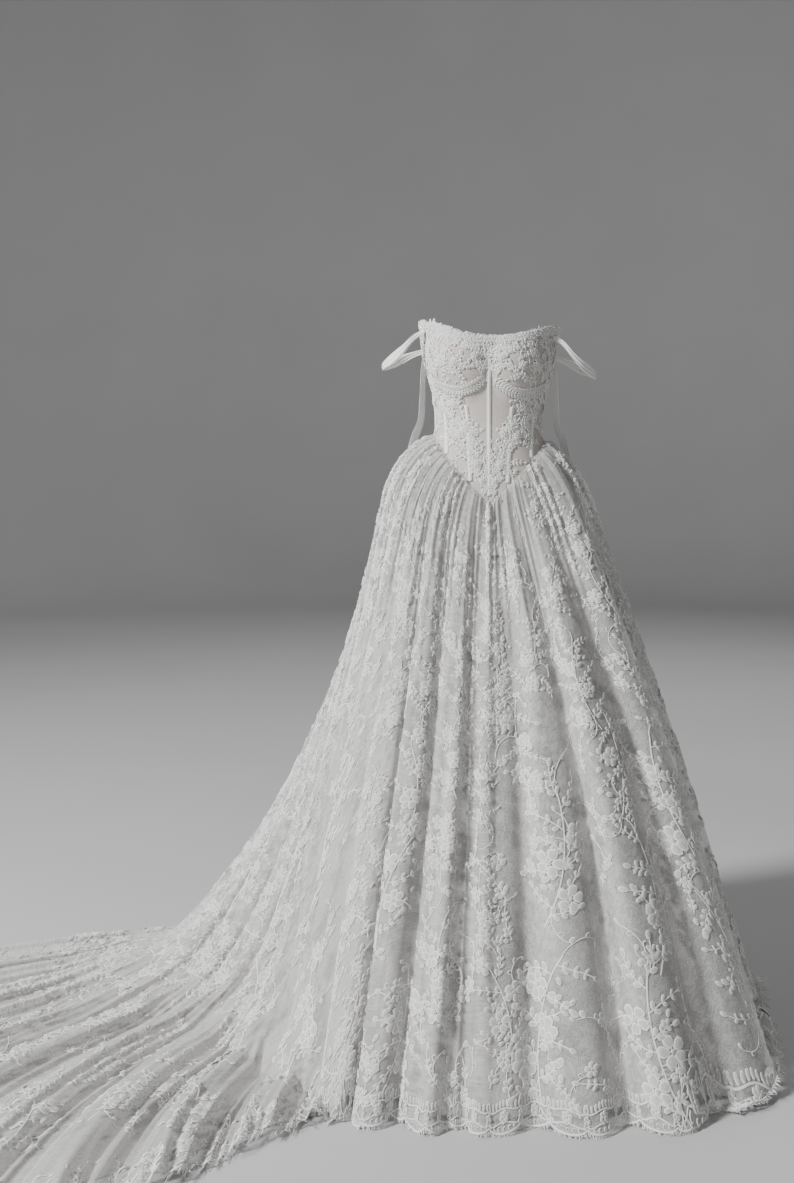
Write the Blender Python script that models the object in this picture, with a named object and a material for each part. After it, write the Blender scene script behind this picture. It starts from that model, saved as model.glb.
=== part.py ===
"""Off-the-shoulder wedding dress: a boned lace corset with a pointed waist, a gathered lace skirt and a train.

Metres, +Z up, front towards -Y. The origin is the centre of the waist, where the wearer holds the dress up.
Right and left are the wearer's, so the wearer's right is towards -X. Angles are in degrees round the body, from 0
at the centre front, positive towards the wearer's left.
"""

import math

import bpy
import numpy as np

# Driving sizes
FLOOR = -1.215
SEAM_GAP = 0.0006
BODICE_WALL = 0.0015
LACE_WALL = 0.0012
LINING_WALL = 0.0010
TRIM_GAP = 0.0013
TRIM_WALL = 0.0010
ROUNDNESS = 2.3
LEAN = 0.045


def table(names, *rows):
    """A short table as a dictionary from each column's name to its values."""
    columns = np.array(rows, float).T
    return dict(zip(names.split(), columns))


# The corset's cross-sections, from the hips up
BODY = table(
    "height half_width front back",
    (-0.200, 0.158, 0.098, 0.122),
    (-0.110, 0.141, 0.091, 0.106),
    (-0.045, 0.121, 0.085, 0.088),
    (0.000, 0.1145, 0.082, 0.079),
    (0.055, 0.1195, 0.088, 0.080),
    (0.108, 0.1335, 0.100, 0.087),
    (0.160, 0.1440, 0.108, 0.093),
    (0.205, 0.1480, 0.107, 0.097),
    (0.240, 0.1495, 0.104, 0.098),
)
CUP = {"angle": 35.0, "height": 0.122, "half_angle": 36.0, "half_height": 0.088, "dome": 0.016}

# Edges that run round the body, as height by angle from the centre front
NECKLINE = table(
    "angle height",
    (0, 0.181), (15, 0.182), (30, 0.188), (45, 0.198), (60, 0.207),
    (75, 0.212), (90, 0.207), (112, 0.184), (135, 0.158), (180, 0.142),
)
UNDERBUST = table("angle height", (0, 0.098), (15, 0.077), (34, 0.063), (55, 0.071), (75, 0.088), (95, 0.104))
WAIST_POINT = -0.166
WAIST_SIDE = -0.036
WAIST_BACK = -0.070
WAIST_HALF_WIDTH = 0.122
WAIST_ROUNDING = 0.10

# Seams that run down the corset, as angle by share of the way from the waist seam up to the cup
INNER_SEAM = table("share angle", (0, 22.5), (0.3, 26), (0.6, 29.5), (1, 31.5))
OUTER_SEAM = table("share angle", (0, 52), (0.5, 59), (1, 62))
SIDE_SEAM = 95.0

# The skirt's hem on the floor for each direction at the waist: where the cloth ends, the direction in which it
# leaves the hips, the share of its way at which it meets the floor, and how hollow its fall is
DRAPE = table(
    "angle hem_x hem_y leave contact hollow",
    (-167, -1.40, -0.04, -111, 0.63, 2.4),
    (-157, -1.55, -0.33, -107, 0.58, 2.4),
    (-145, -1.56, -0.65, -102, 0.55, 2.4),
    (-132, -1.46, -0.92, -96, 0.54, 2.4),
    (-118, -1.27, -1.10, -88, 0.51, 2.4),
    (-102, -0.98, -1.13, -79, 0.45, 2.3),
    (-86, -0.70, -0.99, -68, 0.44, 2.1),
    (-72, -0.50, -0.81, -53, 0.55, 1.7),
    (-60, -0.36, -0.655, -35, 0.76, 1.35),
    (-50, -0.275, -0.600, -20, 0.97, 1.1),
    (-38, -0.210, -0.605, -12, 1.0, 1.0),
    (-20, -0.110, -0.630, -5, 1.0, 1.0),
    (0, 0.00, -0.635, 0, 1.0, 1.0),
    (25, 0.20, -0.635, 22, 1.0, 1.0),
    (45, 0.375, -0.605, 36, 0.99, 1.0),
    (62, 0.505, -0.520, 50, 0.94, 1.05),
    (78, 0.545, -0.370, 62, 0.89, 1.1),
    (94, 0.560, -0.190, 80, 0.87, 1.12),
    (110, 0.565, 0.020, 103, 0.87, 1.12),
    (127, 0.510, 0.250, 128, 0.88, 1.15),
    (142, 0.300, 0.430, 155, 0.90, 1.2),
    (156, -0.050, 0.520, 190, 0.86, 1.35),
    (167, -0.450, 0.440, 216, 0.79, 1.6),
    (176, -0.840, 0.295, 239, 0.73, 2.0),
    (185, -1.160, 0.165, 245, 0.68, 2.3),
)

# The skirt's folds: where each ridge starts at the waist, and how deep it is at the hem
FOLDS = table(
    "angle depth",
    (-172, 0.022), (-161, 0.032), (-150, 0.036), (-139, 0.038), (-128, 0.036), (-117, 0.038), (-106, 0.038),
    (-95, 0.036), (-84, 0.036), (-73, 0.034), (-62, 0.030), (-50, 0.030), (-38, 0.046), (-19, 0.030),
    (0, 0.034), (21, 0.044), (38, 0.050), (61, 0.058), (84, 0.050), (103, 0.042), (121, 0.042),
    (139, 0.038), (157, 0.030), (174, 0.018),
)
GATHERS_PER_FOLD = 2
GATHER_DEPTH = 0.005
FOLD_RISE = table("way depth", (0, 0.0), (0.1, 0.12), (0.2, 0.30), (0.4, 0.58), (0.7, 0.92), (1, 1.0))
HIP = 0.2
HIPS = {"half_width": 0.222, "front": 0.158, "back": 0.195, "drop": 0.150, "shoulder": 0.034}
WAIST_LAP = 0.006
LINING_LEVEL = 0.0008
LINING_MARGIN = 0.020
TRAIN_LIFT = 0.0026
BEND_LIFT = 0.055

SKIRT_WAYS = (0, 0.05, 0.12, 0.2, 0.29, 0.38, 0.48, 0.58, 0.69, 0.80, 0.90, 1.0)
# Where the skirts' seams run, counted in folds from the first row of FOLDS: a half is in the valley between two
GORES = {
    "skirt_front_left": (14, 16.5),
    "skirt_side_front_left": (16.5, 18.5),
    "skirt_side_back_left": (18.5, 21.5),
    "skirt_back_left": (21.5, 23.5),
    "skirt_back_right": (23.5, 27.5),
    "skirt_side_back_right": (27.5, 31.5),
    "skirt_side_front_right": (31.5, 34.5),
    "skirt_front_right": (34.5, 38),
}
LININGS = {f"under{name}": phases for name, phases in GORES.items()}
COLUMNS_PER_FOLD = 6
LINING_COLUMNS_PER_FOLD = 4
# How far the underskirt reaches towards the lace's hem: on the wearer's left behind it shows a little past it
LINING_END = table(
    "angle end",
    (-140, 0.955), (-48, 0.955), (-34, 0.97), (42, 0.97), (60, 0.955), (95, 0.955), (109, 1.05), (120, 1.05),
    (134, 0.955), (170, 0.955),
)


def smooth(x, xs, ys):
    """A smooth curve through a table's points, held at its ends."""
    x = np.clip(x, xs[0], xs[-1])
    slope = np.gradient(ys, xs)
    i = np.clip(np.searchsorted(xs, x, side="right") - 1, 0, len(xs) - 2)
    step = xs[i + 1] - xs[i]
    f = (x - xs[i]) / step
    rise = 3 * f**2 - 2 * f**3
    return (
        (1 - rise) * ys[i]
        + rise * ys[i + 1]
        + step * (f * (1 - f) ** 2 * slope[i] - f**2 * (1 - f) * slope[i + 1])
    )


def around(angle, rows, name):
    """A table's column at an angle, joined smoothly all the way round."""
    xs, ys = rows["angle"], rows[name]
    return smooth((angle - xs[0]) % 360 + xs[0], np.append(xs, xs[:3] + 360), np.append(ys, ys[:3]))


def step_between(x, low, high):
    """0 below low, 1 above high and smooth in between."""
    f = np.clip((x - low) / (high - low), 0, 1)
    return f * f * (3 - 2 * f)


def round_radius(angle, half_width, front, back):
    """Distance from the axis to an oval section in a direction."""
    a = np.radians(angle)
    depth = np.where(np.cos(a) > 0, front, back)
    across = np.abs(np.sin(a) / half_width) ** ROUNDNESS
    along = np.abs(np.cos(a) / depth) ** ROUNDNESS
    return (across + along) ** (-1 / ROUNDNESS)


def heading(angle):
    """Unit vectors in plan, as x and y, in directions given in degrees."""
    a = np.radians(angle)
    return np.stack([np.sin(a), -np.cos(a)], -1)


def leaned(points):
    """The dress hangs a little lower on the wearer's left above the knees."""
    share = step_between(points[..., 2], -0.55, -0.15)
    moved = points.copy()
    moved[..., 2] -= LEAN * points[..., 0] * share
    return moved


def body_point(angle, height):
    """A point on the corset's outer face."""
    angle, height = np.broadcast_arrays(np.asarray(angle, float), np.asarray(height, float))
    sizes = [smooth(height, BODY["height"], BODY[name]) for name in ("half_width", "front", "back")]
    turned = (angle + 180) % 360 - 180
    across = (np.abs(turned) - CUP["angle"]) / CUP["half_angle"]
    upward = (height - CUP["height"]) / CUP["half_height"]
    dome = CUP["dome"] * np.clip(1 - across**2 - upward**2, 0, 1) ** 1.5
    plan = (round_radius(angle, *sizes) + dome)[..., None] * heading(angle)
    return np.concatenate([plan, height[..., None]], -1)


def seam_height(angle):
    """Height of the waist seam: a point at the front, nearly level round the back."""
    turned = np.abs((angle + 180) % 360 - 180)
    across = round_radius(turned, WAIST_HALF_WIDTH, 0.088, 0.09) * np.sin(np.radians(turned))
    share = across / WAIST_HALF_WIDTH
    rounded = np.sqrt(share**2 + WAIST_ROUNDING**2) - WAIST_ROUNDING * (1 - share**2)
    front = WAIST_POINT + (WAIST_SIDE - WAIST_POINT) * rounded
    back = WAIST_SIDE + (WAIST_BACK - WAIST_SIDE) * step_between(turned, 90, 180)
    return np.where(turned < 90, front, back)


def edge_height(rows, angle):
    """Height of a table's edge at an angle, the same on the left and right."""
    turned = np.abs((angle + 180) % 360 - 180)
    return smooth(turned, rows["angle"], rows["height"])


def fold_phase(angle):
    """Number of folds from the first ridge to an angle, so that each ridge is at a whole number."""
    first = FOLDS["angle"][0]
    ridges = np.append(FOLDS["angle"], first + 360)
    laps = np.floor((angle - first) / 360)
    return len(FOLDS["angle"]) * laps + np.interp(angle - 360 * laps, ridges, np.arange(len(ridges)))


def fold_angle(phase):
    """The angle at which the fold phase has a value."""
    count = len(FOLDS["angle"])
    ridges = np.append(FOLDS["angle"], FOLDS["angle"][0] + 360)
    laps = np.floor(phase / count)
    return 360 * laps + np.interp(phase - count * laps, np.arange(count + 1), ridges)


def travel(angle, way):
    """Share of the distance in plan from the hips to the hem, so that ways are evenly spaced along the cloth."""
    hang = np.clip(around(angle, DRAPE, "contact"), 0.5, 1)
    below = np.maximum((way - HIP) / (1 - HIP), 0)
    return below * (hang + (1 - hang) * below)


def skirt_base(angle, way, lap):
    """The skirt's smooth form, with no folds. way is 0 at the waist seam, HIP at the hips and 1 at the hem."""
    waist = body_point(angle, seam_height(angle) + lap)
    level = seam_height(angle)
    direction = heading(angle)
    hips = round_radius(angle, HIPS["half_width"], HIPS["front"], HIPS["back"])[..., None] * direction
    hip_level = level - HIPS["drop"]
    hem = np.stack([around(angle, DRAPE, "hem_x"), around(angle, DRAPE, "hem_y")], -1)
    contact = around(angle, DRAPE, "contact")
    hollow = around(angle, DRAPE, "hollow")
    leave = np.linalg.norm(hem - hips, axis=-1)[..., None] * heading(around_heading(angle))
    fall = (FLOOR - hip_level) * hollow / contact
    # Down from the hips the cloth swings out in plan while it falls to the floor
    s = travel(angle, way)[..., None]
    plan = hips + leave * s + (hem - hips - leave) * s**2
    left = np.clip(1 - s[..., 0] / contact, 0, 1) ** hollow
    lower = np.concatenate([plan, (FLOOR + (hip_level - FLOOR) * left)[..., None]], -1)
    # From the seam to the hips it rounds out over a soft shoulder
    bend_level = level - HIPS["shoulder"]
    back_off = ((bend_level - hip_level) / fall)[..., None]
    bend = np.concatenate([hips + leave * back_off, bend_level[..., None]], -1)
    hip_point = np.concatenate([hips, hip_level[..., None]], -1)
    f = np.clip(way / HIP, 0, 1)[..., None]
    upper = (1 - f) ** 2 * waist + 2 * f * (1 - f) * bend + f**2 * hip_point
    return np.where((way < HIP)[..., None], upper, lower)


def around_heading(angle):
    """The direction in which the cloth leaves the hips, unwrapped so that it turns one way only."""
    xs = DRAPE["angle"]
    lap = np.append(xs, xs[:3] + 360)
    ys = np.append(DRAPE["leave"], DRAPE["leave"][:3] + 360)
    return smooth((angle - xs[0]) % 360 + xs[0], lap, ys)


def outward(surface, angle, way):
    """Unit normals of a surface given as a function of angle and way, pointing out of the dress."""
    turn, move = 0.02, 0.0005
    after, before = way + move, np.maximum(way - move, 0)
    across = surface(angle + turn, way) - surface(angle - turn, way)
    down = surface(angle, after) - surface(angle, before)
    normal = np.cross(down, across)
    return normal / np.linalg.norm(normal, axis=-1, keepdims=True)


def on_floor(angle, way):
    """0 where the skirt hangs, 1 where the train lies on the floor."""
    contact = around(angle, DRAPE, "contact")
    settles = np.interp(around(angle, DRAPE, "hollow"), (1.2, 2.0), (0.90, 0.62))
    return step_between(travel(angle, way) / contact, settles, 1.0) * step_between(1 - contact, 0.02, 0.16)


def fold_depth(angle, way):
    """How far the folds at an angle stand out, growing from none at the waist seam to the whole at the hem."""
    return around(angle, FOLDS, "depth") * smooth(way, FOLD_RISE["way"], FOLD_RISE["depth"])


def base_normals(angle, way):
    """Unit vectors straight out of the skirt's smooth form, and the same ones turned level."""
    normal = outward(lambda a, w: skirt_base(a, w, WAIST_LAP), angle, np.clip(way, 0.02, 0.98))
    level = normal * (1, 1, 0)
    return normal, level / np.maximum(np.linalg.norm(level, axis=-1, keepdims=True), 1e-6)


def moved_out(points, angle, way, folds, clearance, rise):
    """Moves the smooth form out level by the folds and straight out by a clearance, or up where it lies."""
    normal, level = base_normals(angle, way)
    floor = on_floor(angle, way)
    hang = level * folds[..., None] + normal * clearance[..., None]
    up = np.zeros_like(points)
    up[..., 2] = rise * floor
    return leaned(points + hang * (1 - floor)[..., None] + up)


def lace_surface(angle, way):
    """The outer face of the lace skirt, with its folds and gathers."""
    phase = fold_phase(angle)
    ridge = 0.5 + 0.5 * np.cos(2 * math.pi * phase)
    gather = 0.5 + 0.5 * np.cos(2 * math.pi * phase * GATHERS_PER_FOLD)
    near_waist = 1 - step_between(way, 0.06, 0.34)
    depth = fold_depth(angle, way)
    centre = 0.5 * step_between(way, 0.0, HIP)
    folds = depth * (ridge - centre) + GATHER_DEPTH * near_waist * gather
    covered = step_between(around(angle, LINING_END, "end"), 0.96, 1.0)
    ends = 1 - step_between(way, 0.94, 1.0) * (1 - covered)
    lie = LACE_WALL + TRAIN_LIFT * (0.4 + 0.6 * ends) + depth * ridge * (0.45 + 0.55 * ends)
    lie = lie + BEND_LIFT * (1 - on_floor(angle, way))
    clearance = np.full(np.shape(angle), LACE_WALL + SEAM_GAP)
    return moved_out(skirt_base(angle, way, WAIST_LAP), angle, way, folds, clearance, lie)


def lining_surface(angle, way):
    """The outer face of the plain underskirt, inside the lace with folds half as deep."""
    phase = fold_phase(angle)
    ridge = 0.5 + 0.5 * np.cos(2 * math.pi * phase)
    depth = fold_depth(angle, way)
    clearance = -LINING_MARGIN * step_between(way, 0.0, HIP)
    lie = np.full(np.shape(angle), LINING_WALL)
    folds = depth * (0.5 * ridge - 0.5)
    return moved_out(skirt_base(angle, way, -LINING_LEVEL), angle, way, folds, clearance, lie)


def body_grid(angles, heights):
    """Points and outward normals of the corset's outer face, leaned with the dress."""

    def face(a, h):
        return leaned(body_point(a, h))

    turn, rise = 0.05, 0.0005
    across = face(angles + turn, heights) - face(angles - turn, heights)
    upward = face(angles, heights + rise) - face(angles, heights - rise)
    normal = np.cross(across, upward)
    return face(angles, heights), normal / np.linalg.norm(normal, axis=-1, keepdims=True)


def inset(points, gap):
    """Moves the four edges of a grid in by half a seam gap."""
    moved = points.copy()
    for axis in (0, 1):
        for edge, beside in ((0, 1), (-1, -2)):
            side, near = np.take(points, edge, axis), np.take(points, beside, axis)
            pull = near - side
            pull = pull / np.maximum(np.linalg.norm(pull, axis=-1, keepdims=True), 1e-9) * gap / 2
            index = [slice(None)] * 3
            index[axis] = edge
            moved[tuple(index)] += pull
    return moved


def material(name, colour, roughness):
    made = bpy.data.materials.new(name)
    made.use_nodes = True
    shader = made.node_tree.nodes["Principled BSDF"]
    shader.inputs["Base Color"].default_value = (*colour, 1)
    shader.inputs["Roughness"].default_value = roughness
    shader.inputs["Metallic"].default_value = 0
    return made


def wall(name, outer, inner, finish):
    """One closed cloth wall between two grids of the same shape, cut into triangles the same way on both sides."""
    rows, columns = outer.shape[:2]
    points = np.concatenate([outer.reshape(-1, 3), inner.reshape(-1, 3)])
    below = rows * columns
    falling = np.linalg.norm(outer[1:, 1:] - outer[:-1, :-1], axis=-1)
    rising = np.linalg.norm(outer[1:, :-1] - outer[:-1, 1:], axis=-1)

    def at(row, column, side):
        return side * below + row * columns + column

    faces = []
    for r in range(rows - 1):
        for c in range(columns - 1):
            near, low, far, top = (r, c), (r + 1, c), (r + 1, c + 1), (r, c + 1)
            pair = [(near, low, far), (near, far, top)]
            if rising[r, c] < falling[r, c]:
                pair = [(near, low, top), (low, far, top)]
            for corners in pair:
                faces.append([at(*corner, 0) for corner in corners])
                faces.append([at(*corner, 1) for corner in reversed(corners)])
    rim = [(0, c) for c in range(columns)] + [(r, columns - 1) for r in range(1, rows)]
    rim += [(rows - 1, c) for c in range(columns - 2, -1, -1)] + [(r, 0) for r in range(rows - 2, 0, -1)]
    for here, there in zip(rim, rim[1:] + rim[:1]):
        faces.append([at(*here, 0), at(*there, 0), at(*there, 1), at(*here, 1)])
    mesh = bpy.data.meshes.new(name)
    mesh.from_pydata(points.tolist(), [], faces)
    mesh.materials.append(finish)
    mesh.shade_smooth()
    mesh.set_sharp_from_angle(angle=math.radians(50))
    mesh.update()
    made = bpy.data.objects.new(name, mesh)
    bpy.context.scene.collection.objects.link(made)
    return made


def corset_wall(name, angles, heights, inner, outer, finish, gap=SEAM_GAP):
    """A wall that lies along the corset, between two distances from its outer face."""
    points, normals = body_grid(angles, heights)
    points = inset(points, gap)
    return wall(name, points + normals * outer, points + normals * inner, finish)


def evened(normals):
    """Unit vectors averaged with their neighbours, along the seams only where the grid ends at one."""
    below = np.concatenate([normals[1:], normals[-2:-1]])
    above = np.concatenate([normals[1:2], normals[:-1]])
    mixed = 2 * normals + below + above
    mixed[:, 1:-1] += 2 * (normals[:, :-2] + normals[:, 2:])
    return mixed / np.linalg.norm(mixed, axis=-1, keepdims=True)


def skirt_wall(name, surface, start, end, per_fold, last_way, thickness, finish):
    """A gore of a skirt between two seams."""
    angles = fold_angle(np.linspace(start, end, round((end - start) * per_fold) + 1))
    ways = np.tile(np.array(SKIRT_WAYS, float)[:, None], len(angles))
    ways[-1] = last_way(angles)
    grid = np.broadcast_to(angles, ways.shape)
    points = surface(grid, ways)
    normals = evened(outward(surface, grid, ways))
    points = inset(points, SEAM_GAP)
    outer, inner = points.copy(), points - normals * thickness
    outer[..., 2] = np.maximum(outer[..., 2], FLOOR + thickness)
    inner[..., 2] = np.maximum(inner[..., 2], FLOOR)
    return wall(name, outer, inner, finish)


def side_name(side):
    return "left" if side > 0 else "right"


def panel_heights(angles, shares):
    """Heights between the waist seam and the cup seam."""
    low, high = seam_height(angles), edge_height(UNDERBUST, angles)
    return low + (high - low) * shares


def build_corset(net, side):
    """The cup and the four panels of one side of the corset."""
    shares = np.linspace(0, 1, 8)[:, None]
    zero = np.zeros_like(shares)
    inner = smooth(shares, INNER_SEAM["share"], INNER_SEAM["angle"])
    outer = smooth(shares, OUTER_SEAM["share"], OUTER_SEAM["angle"])
    seam = np.full_like(shares, SIDE_SEAM)
    across = np.linspace(0, 1, 5)[None, :]
    panels = (("front_panel", zero, inner), ("side_front_panel", inner, outer), ("side_panel", outer, seam))
    for name, start, end in panels:
        angles = start + (end - start) * across
        place_panel(f"{name}_{side_name(side)}", angles, panel_heights(angles, shares), side, net)
    cup = np.linspace(0, SIDE_SEAM, 18)[None, :] * np.ones((8, 1))
    up = np.linspace(0, 1, 8)[:, None]
    low, high = edge_height(UNDERBUST, cup), edge_height(NECKLINE, cup)
    place_panel(f"cup_{side_name(side)}", cup, low + (high - low) * up, side, net)
    back = np.linspace(SIDE_SEAM, 180, 9)[None, :] * np.ones((8, 1))
    up = np.linspace(0, 1, 8)[:, None]
    low, high = seam_height(back), edge_height(NECKLINE, back)
    place_panel(f"back_panel_{side_name(side)}", back, low + (high - low) * up, side, net)


def place_panel(name, angles, heights, side, finish):
    """Grids run from the centre front outwards; on the right they are turned round so that faces point out."""
    signed = angles * side
    if side < 0:
        signed, heights = signed[:, ::-1], heights[:, ::-1]
    corset_wall(name, signed[::-1], heights[::-1], -BODICE_WALL, 0.0, finish)


def strip_on_corset(name, centre, heights, width, finish, side=1):
    """A flat strip of a width, laid on the corset along a line of angles and heights."""
    radius = np.linalg.norm(body_point(centre, heights)[..., :2], axis=-1)
    half = np.degrees(width / 2 / radius)
    across = np.array([-1.0, 0.0, 1.0])[None, :]
    angles = centre[:, None] * side + half[:, None] * across
    levels = np.broadcast_to(heights[:, None], angles.shape)
    corset_wall(name, angles[::-1], levels[::-1], TRIM_GAP, TRIM_GAP + TRIM_WALL, finish, gap=0)


def build_casings(satin):
    """The channels sewn over the bones, on the seams of the corset."""
    heights = np.linspace(WAIST_POINT + 0.016, 0.146, 13)
    strip_on_corset("casing_centre", np.zeros(13), heights, 0.0090, satin)
    rows = (("casing_inner", INNER_SEAM, 0.0085), ("casing_outer", OUTER_SEAM, 0.0075))
    for side in (-1, 1):
        for name, seam, width in rows:
            shares = np.linspace(0.075, 0.86, 8)
            centre = smooth(shares, seam["share"], seam["angle"])
            strip_on_corset(f"{name}_{side_name(side)}", centre, panel_heights(centre, shares), width, satin, side)
        centre = np.full(8, SIDE_SEAM)
        low, high = seam_height(centre), edge_height(NECKLINE, centre)
        heights = low + (high - low) * np.linspace(0.09, 0.80, 8)
        strip_on_corset(f"casing_side_{side_name(side)}", centre, heights, 0.0085, satin, side)
    low, high = seam_height(np.array([180.0]))[0], edge_height(NECKLINE, np.array([180.0]))[0]
    strip_on_corset("placket_back", np.full(8, 180.0), np.linspace(low + 0.014, high - 0.004, 8), 0.020, satin)


def build_lace_bands(lace):
    """The scalloped bands along the neckline and under the cups."""
    reach, depth, scallop = 84.0, 0.030, 0.0045
    angles = np.linspace(-reach, reach, 43)
    wave = np.abs(np.sin(np.radians(angles * 180 / reach * 3.5)))
    top = edge_height(NECKLINE, angles) + 0.0015 + scallop * wave
    low = edge_height(NECKLINE, angles) - depth - scallop * wave
    levels = low + (top - low) * np.linspace(1, 0, 4)[:, None]
    grid = np.broadcast_to(angles, levels.shape)
    corset_wall("lace_neckline", grid, levels, TRIM_GAP, TRIM_GAP + TRIM_WALL, lace, gap=0)
    for side in (-1, 1):
        angles = np.linspace(6.0, 74.0, 17)
        wave = np.abs(np.sin(np.radians((angles - 6) / 68 * 180 * 4)))
        top = edge_height(UNDERBUST, angles) + 0.014 + 0.002 * wave
        low = edge_height(UNDERBUST, angles) - 0.006 - 0.006 * wave
        levels = low + (top - low) * np.linspace(1, 0, 3)[:, None]
        signed = np.broadcast_to(angles * side, levels.shape)
        if side < 0:
            signed, levels = signed[:, ::-1], levels[:, ::-1]
        name = f"lace_underbust_{side_name(side)}"
        corset_wall(name, signed, levels, TRIM_GAP, TRIM_GAP + TRIM_WALL, lace, gap=0)


# The straps and ribbons on the wearer's left. Each is sewn flat on the corset at angles and heights, and between
# them its middle line hangs free: the strap round the arm, the ribbon down to the skirt
STRAP_FRONT = ((68.0, 0.1920),)
STRAP_BACK = ((119.0, 0.1620),)
STRAP = table(
    "x y z",
    (0.1600, -0.0600, 0.1750),
    (0.1800, -0.0570, 0.1530),
    (0.2040, -0.0460, 0.1310),
    (0.2230, -0.0230, 0.1190),
    (0.2290, 0.0050, 0.1150),
    (0.2220, 0.0330, 0.1190),
    (0.2040, 0.0540, 0.1300),
    (0.1780, 0.0650, 0.1440),
    (0.1500, 0.0670, 0.1550),
)
STRAP_WIDTH = table(
    "place width",
    (0, 0.010), (0.16, 0.012), (0.3, 0.021), (0.5, 0.014), (0.72, 0.020), (0.85, 0.012), (1, 0.010),
)
ARM_AXIS = (0.150, 0.004)
STRAP_WALL = 0.0020
SEWN_GAP = 0.0001
RIBBON_TOP = ((105.0, 0.1660),)
RIBBON = table(
    "x y z",
    (0.1435, 0.0500, 0.1150),
    (0.1460, 0.0590, 0.0550),
    (0.1500, 0.0660, 0.0050),
    (0.1660, 0.0810, -0.0380),
)
RIBBON_ANGLES = {1: 121.0, -1: -117.0}
RIBBON_WAYS = (0.16, 0.18, 0.20, 0.22, 0.24, 0.26)
RIBBON_WIDTHS = (0.013, 0.026)
RIBBON_CLEAR = 0.0060
RIBBON_WALL = 0.0012


def sewn(places, side, away):
    """Points and normals at places on the corset, a distance from its face."""
    angles, heights = np.array(places).T
    points, normals = body_grid(angles * side, heights)
    return points + normals * away, normals


def free_line(rows, side):
    return leaned(np.stack([rows["x"] * side, rows["y"], rows["z"]], -1))


def resampled(values, count):
    """Evenly spaced values on a smooth curve through rows of values."""
    places = np.arange(len(values), dtype=float)
    fine = np.linspace(0, places[-1], count)
    return np.stack([smooth(fine, places, values[:, i]) for i in range(values.shape[1])], -1)


def band(name, centre, facing, widths, thickness, finish):
    """A flat band along a line, as wide as given, with its face turned towards facing."""
    run = np.gradient(centre, axis=0)
    run /= np.linalg.norm(run, axis=1, keepdims=True)
    face = facing - run * (facing * run).sum(1, keepdims=True)
    face /= np.linalg.norm(face, axis=1, keepdims=True)
    across = np.cross(face, run)
    spread = np.array([-0.5, 0.0, 0.5])
    middle = centre[:, None] + across[:, None] * (spread[None, :] * widths[:, None])[..., None]
    crown = np.array([0.35, 0.5, 0.35])[None, :, None]
    outer = middle + face[:, None] * thickness * crown
    inner = middle - face[:, None] * thickness * 0.5
    wall(name, outer, inner, finish)


def build_strap(satin, side):
    """A strap from the front corner of the corset round where the arm was to the back."""
    half = STRAP_WALL / 2 + SEWN_GAP
    front, front_normals = sewn(STRAP_FRONT, side, TRIM_GAP + TRIM_WALL + half)
    back, back_normals = sewn(STRAP_BACK, side, half)
    middle = free_line(STRAP, side)
    outwards = (middle - (ARM_AXIS[0] * side, ARM_AXIS[1], 0)) * (1, 1, 0)
    outwards /= np.linalg.norm(outwards, axis=1, keepdims=True)
    centre = resampled(np.concatenate([front, middle, back]), 25)
    facing = resampled(np.concatenate([front_normals, outwards, back_normals]), 25)
    widths = smooth(np.linspace(0, 1, 25), STRAP_WIDTH["place"], STRAP_WIDTH["width"])
    band(f"strap_{side_name(side)}", centre, facing, widths, STRAP_WALL, satin)


def build_ribbon(satin, side):
    """A ribbon that hangs behind the arm and lies on the back of the skirt."""
    top, top_normals = sewn(RIBBON_TOP, side, RIBBON_WALL / 2 + SEWN_GAP)
    hang = free_line(RIBBON, side)
    free = hang * (0.3, 1.0, 0.0)
    free /= np.linalg.norm(free, axis=1, keepdims=True)
    ways = np.array(RIBBON_WAYS)
    angles = np.full(len(ways), RIBBON_ANGLES[side])
    normals = outward(lace_surface, angles, ways)
    lie = lace_surface(angles, ways) + normals * RIBBON_CLEAR
    centre = resampled(np.concatenate([top, hang, lie]), 24)
    facing = resampled(np.concatenate([top_normals, free, normals]), 24)
    band(f"ribbon_{side_name(side)}", centre, facing, np.linspace(*RIBBON_WIDTHS, 24), RIBBON_WALL, satin)


def build_skirts(lace, lining):
    def whole(angles):
        return np.ones_like(angles)

    def lining_end(angles):
        return around(angles, LINING_END, "end")

    for name, (start, end) in GORES.items():
        skirt_wall(name, lace_surface, start, end, COLUMNS_PER_FOLD, whole, LACE_WALL, lace)
    for name, (start, end) in LININGS.items():
        skirt_wall(name, lining_surface, start, end, LINING_COLUMNS_PER_FOLD, lining_end, LINING_WALL, lining)


def main():
    for old in list(bpy.data.objects):
        bpy.data.objects.remove(old)
    net = material("corset_net", (0.72, 0.70, 0.68), 0.75)
    satin = material("satin", (0.86, 0.85, 0.83), 0.35)
    lace = material("lace", (0.88, 0.87, 0.85), 0.80)
    lining = material("lining", (0.80, 0.79, 0.77), 0.60)
    for side in (-1, 1):
        build_corset(net, side)
    build_casings(satin)
    build_lace_bands(lace)
    for side in (-1, 1):
        build_strap(satin, side)
        build_ribbon(satin, side)
    build_skirts(lace, lining)


main()
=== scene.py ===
"""Looks of the off-the-shoulder wedding dress: a boned lace corset, a gathered lace skirt and a train.

Metres, +Z up, front towards -Y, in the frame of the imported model. The corset and the skirt have the same
forms as the solids, sampled finely, and every layer, thread and leaf of lace is laid on them.
"""

import math

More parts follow.
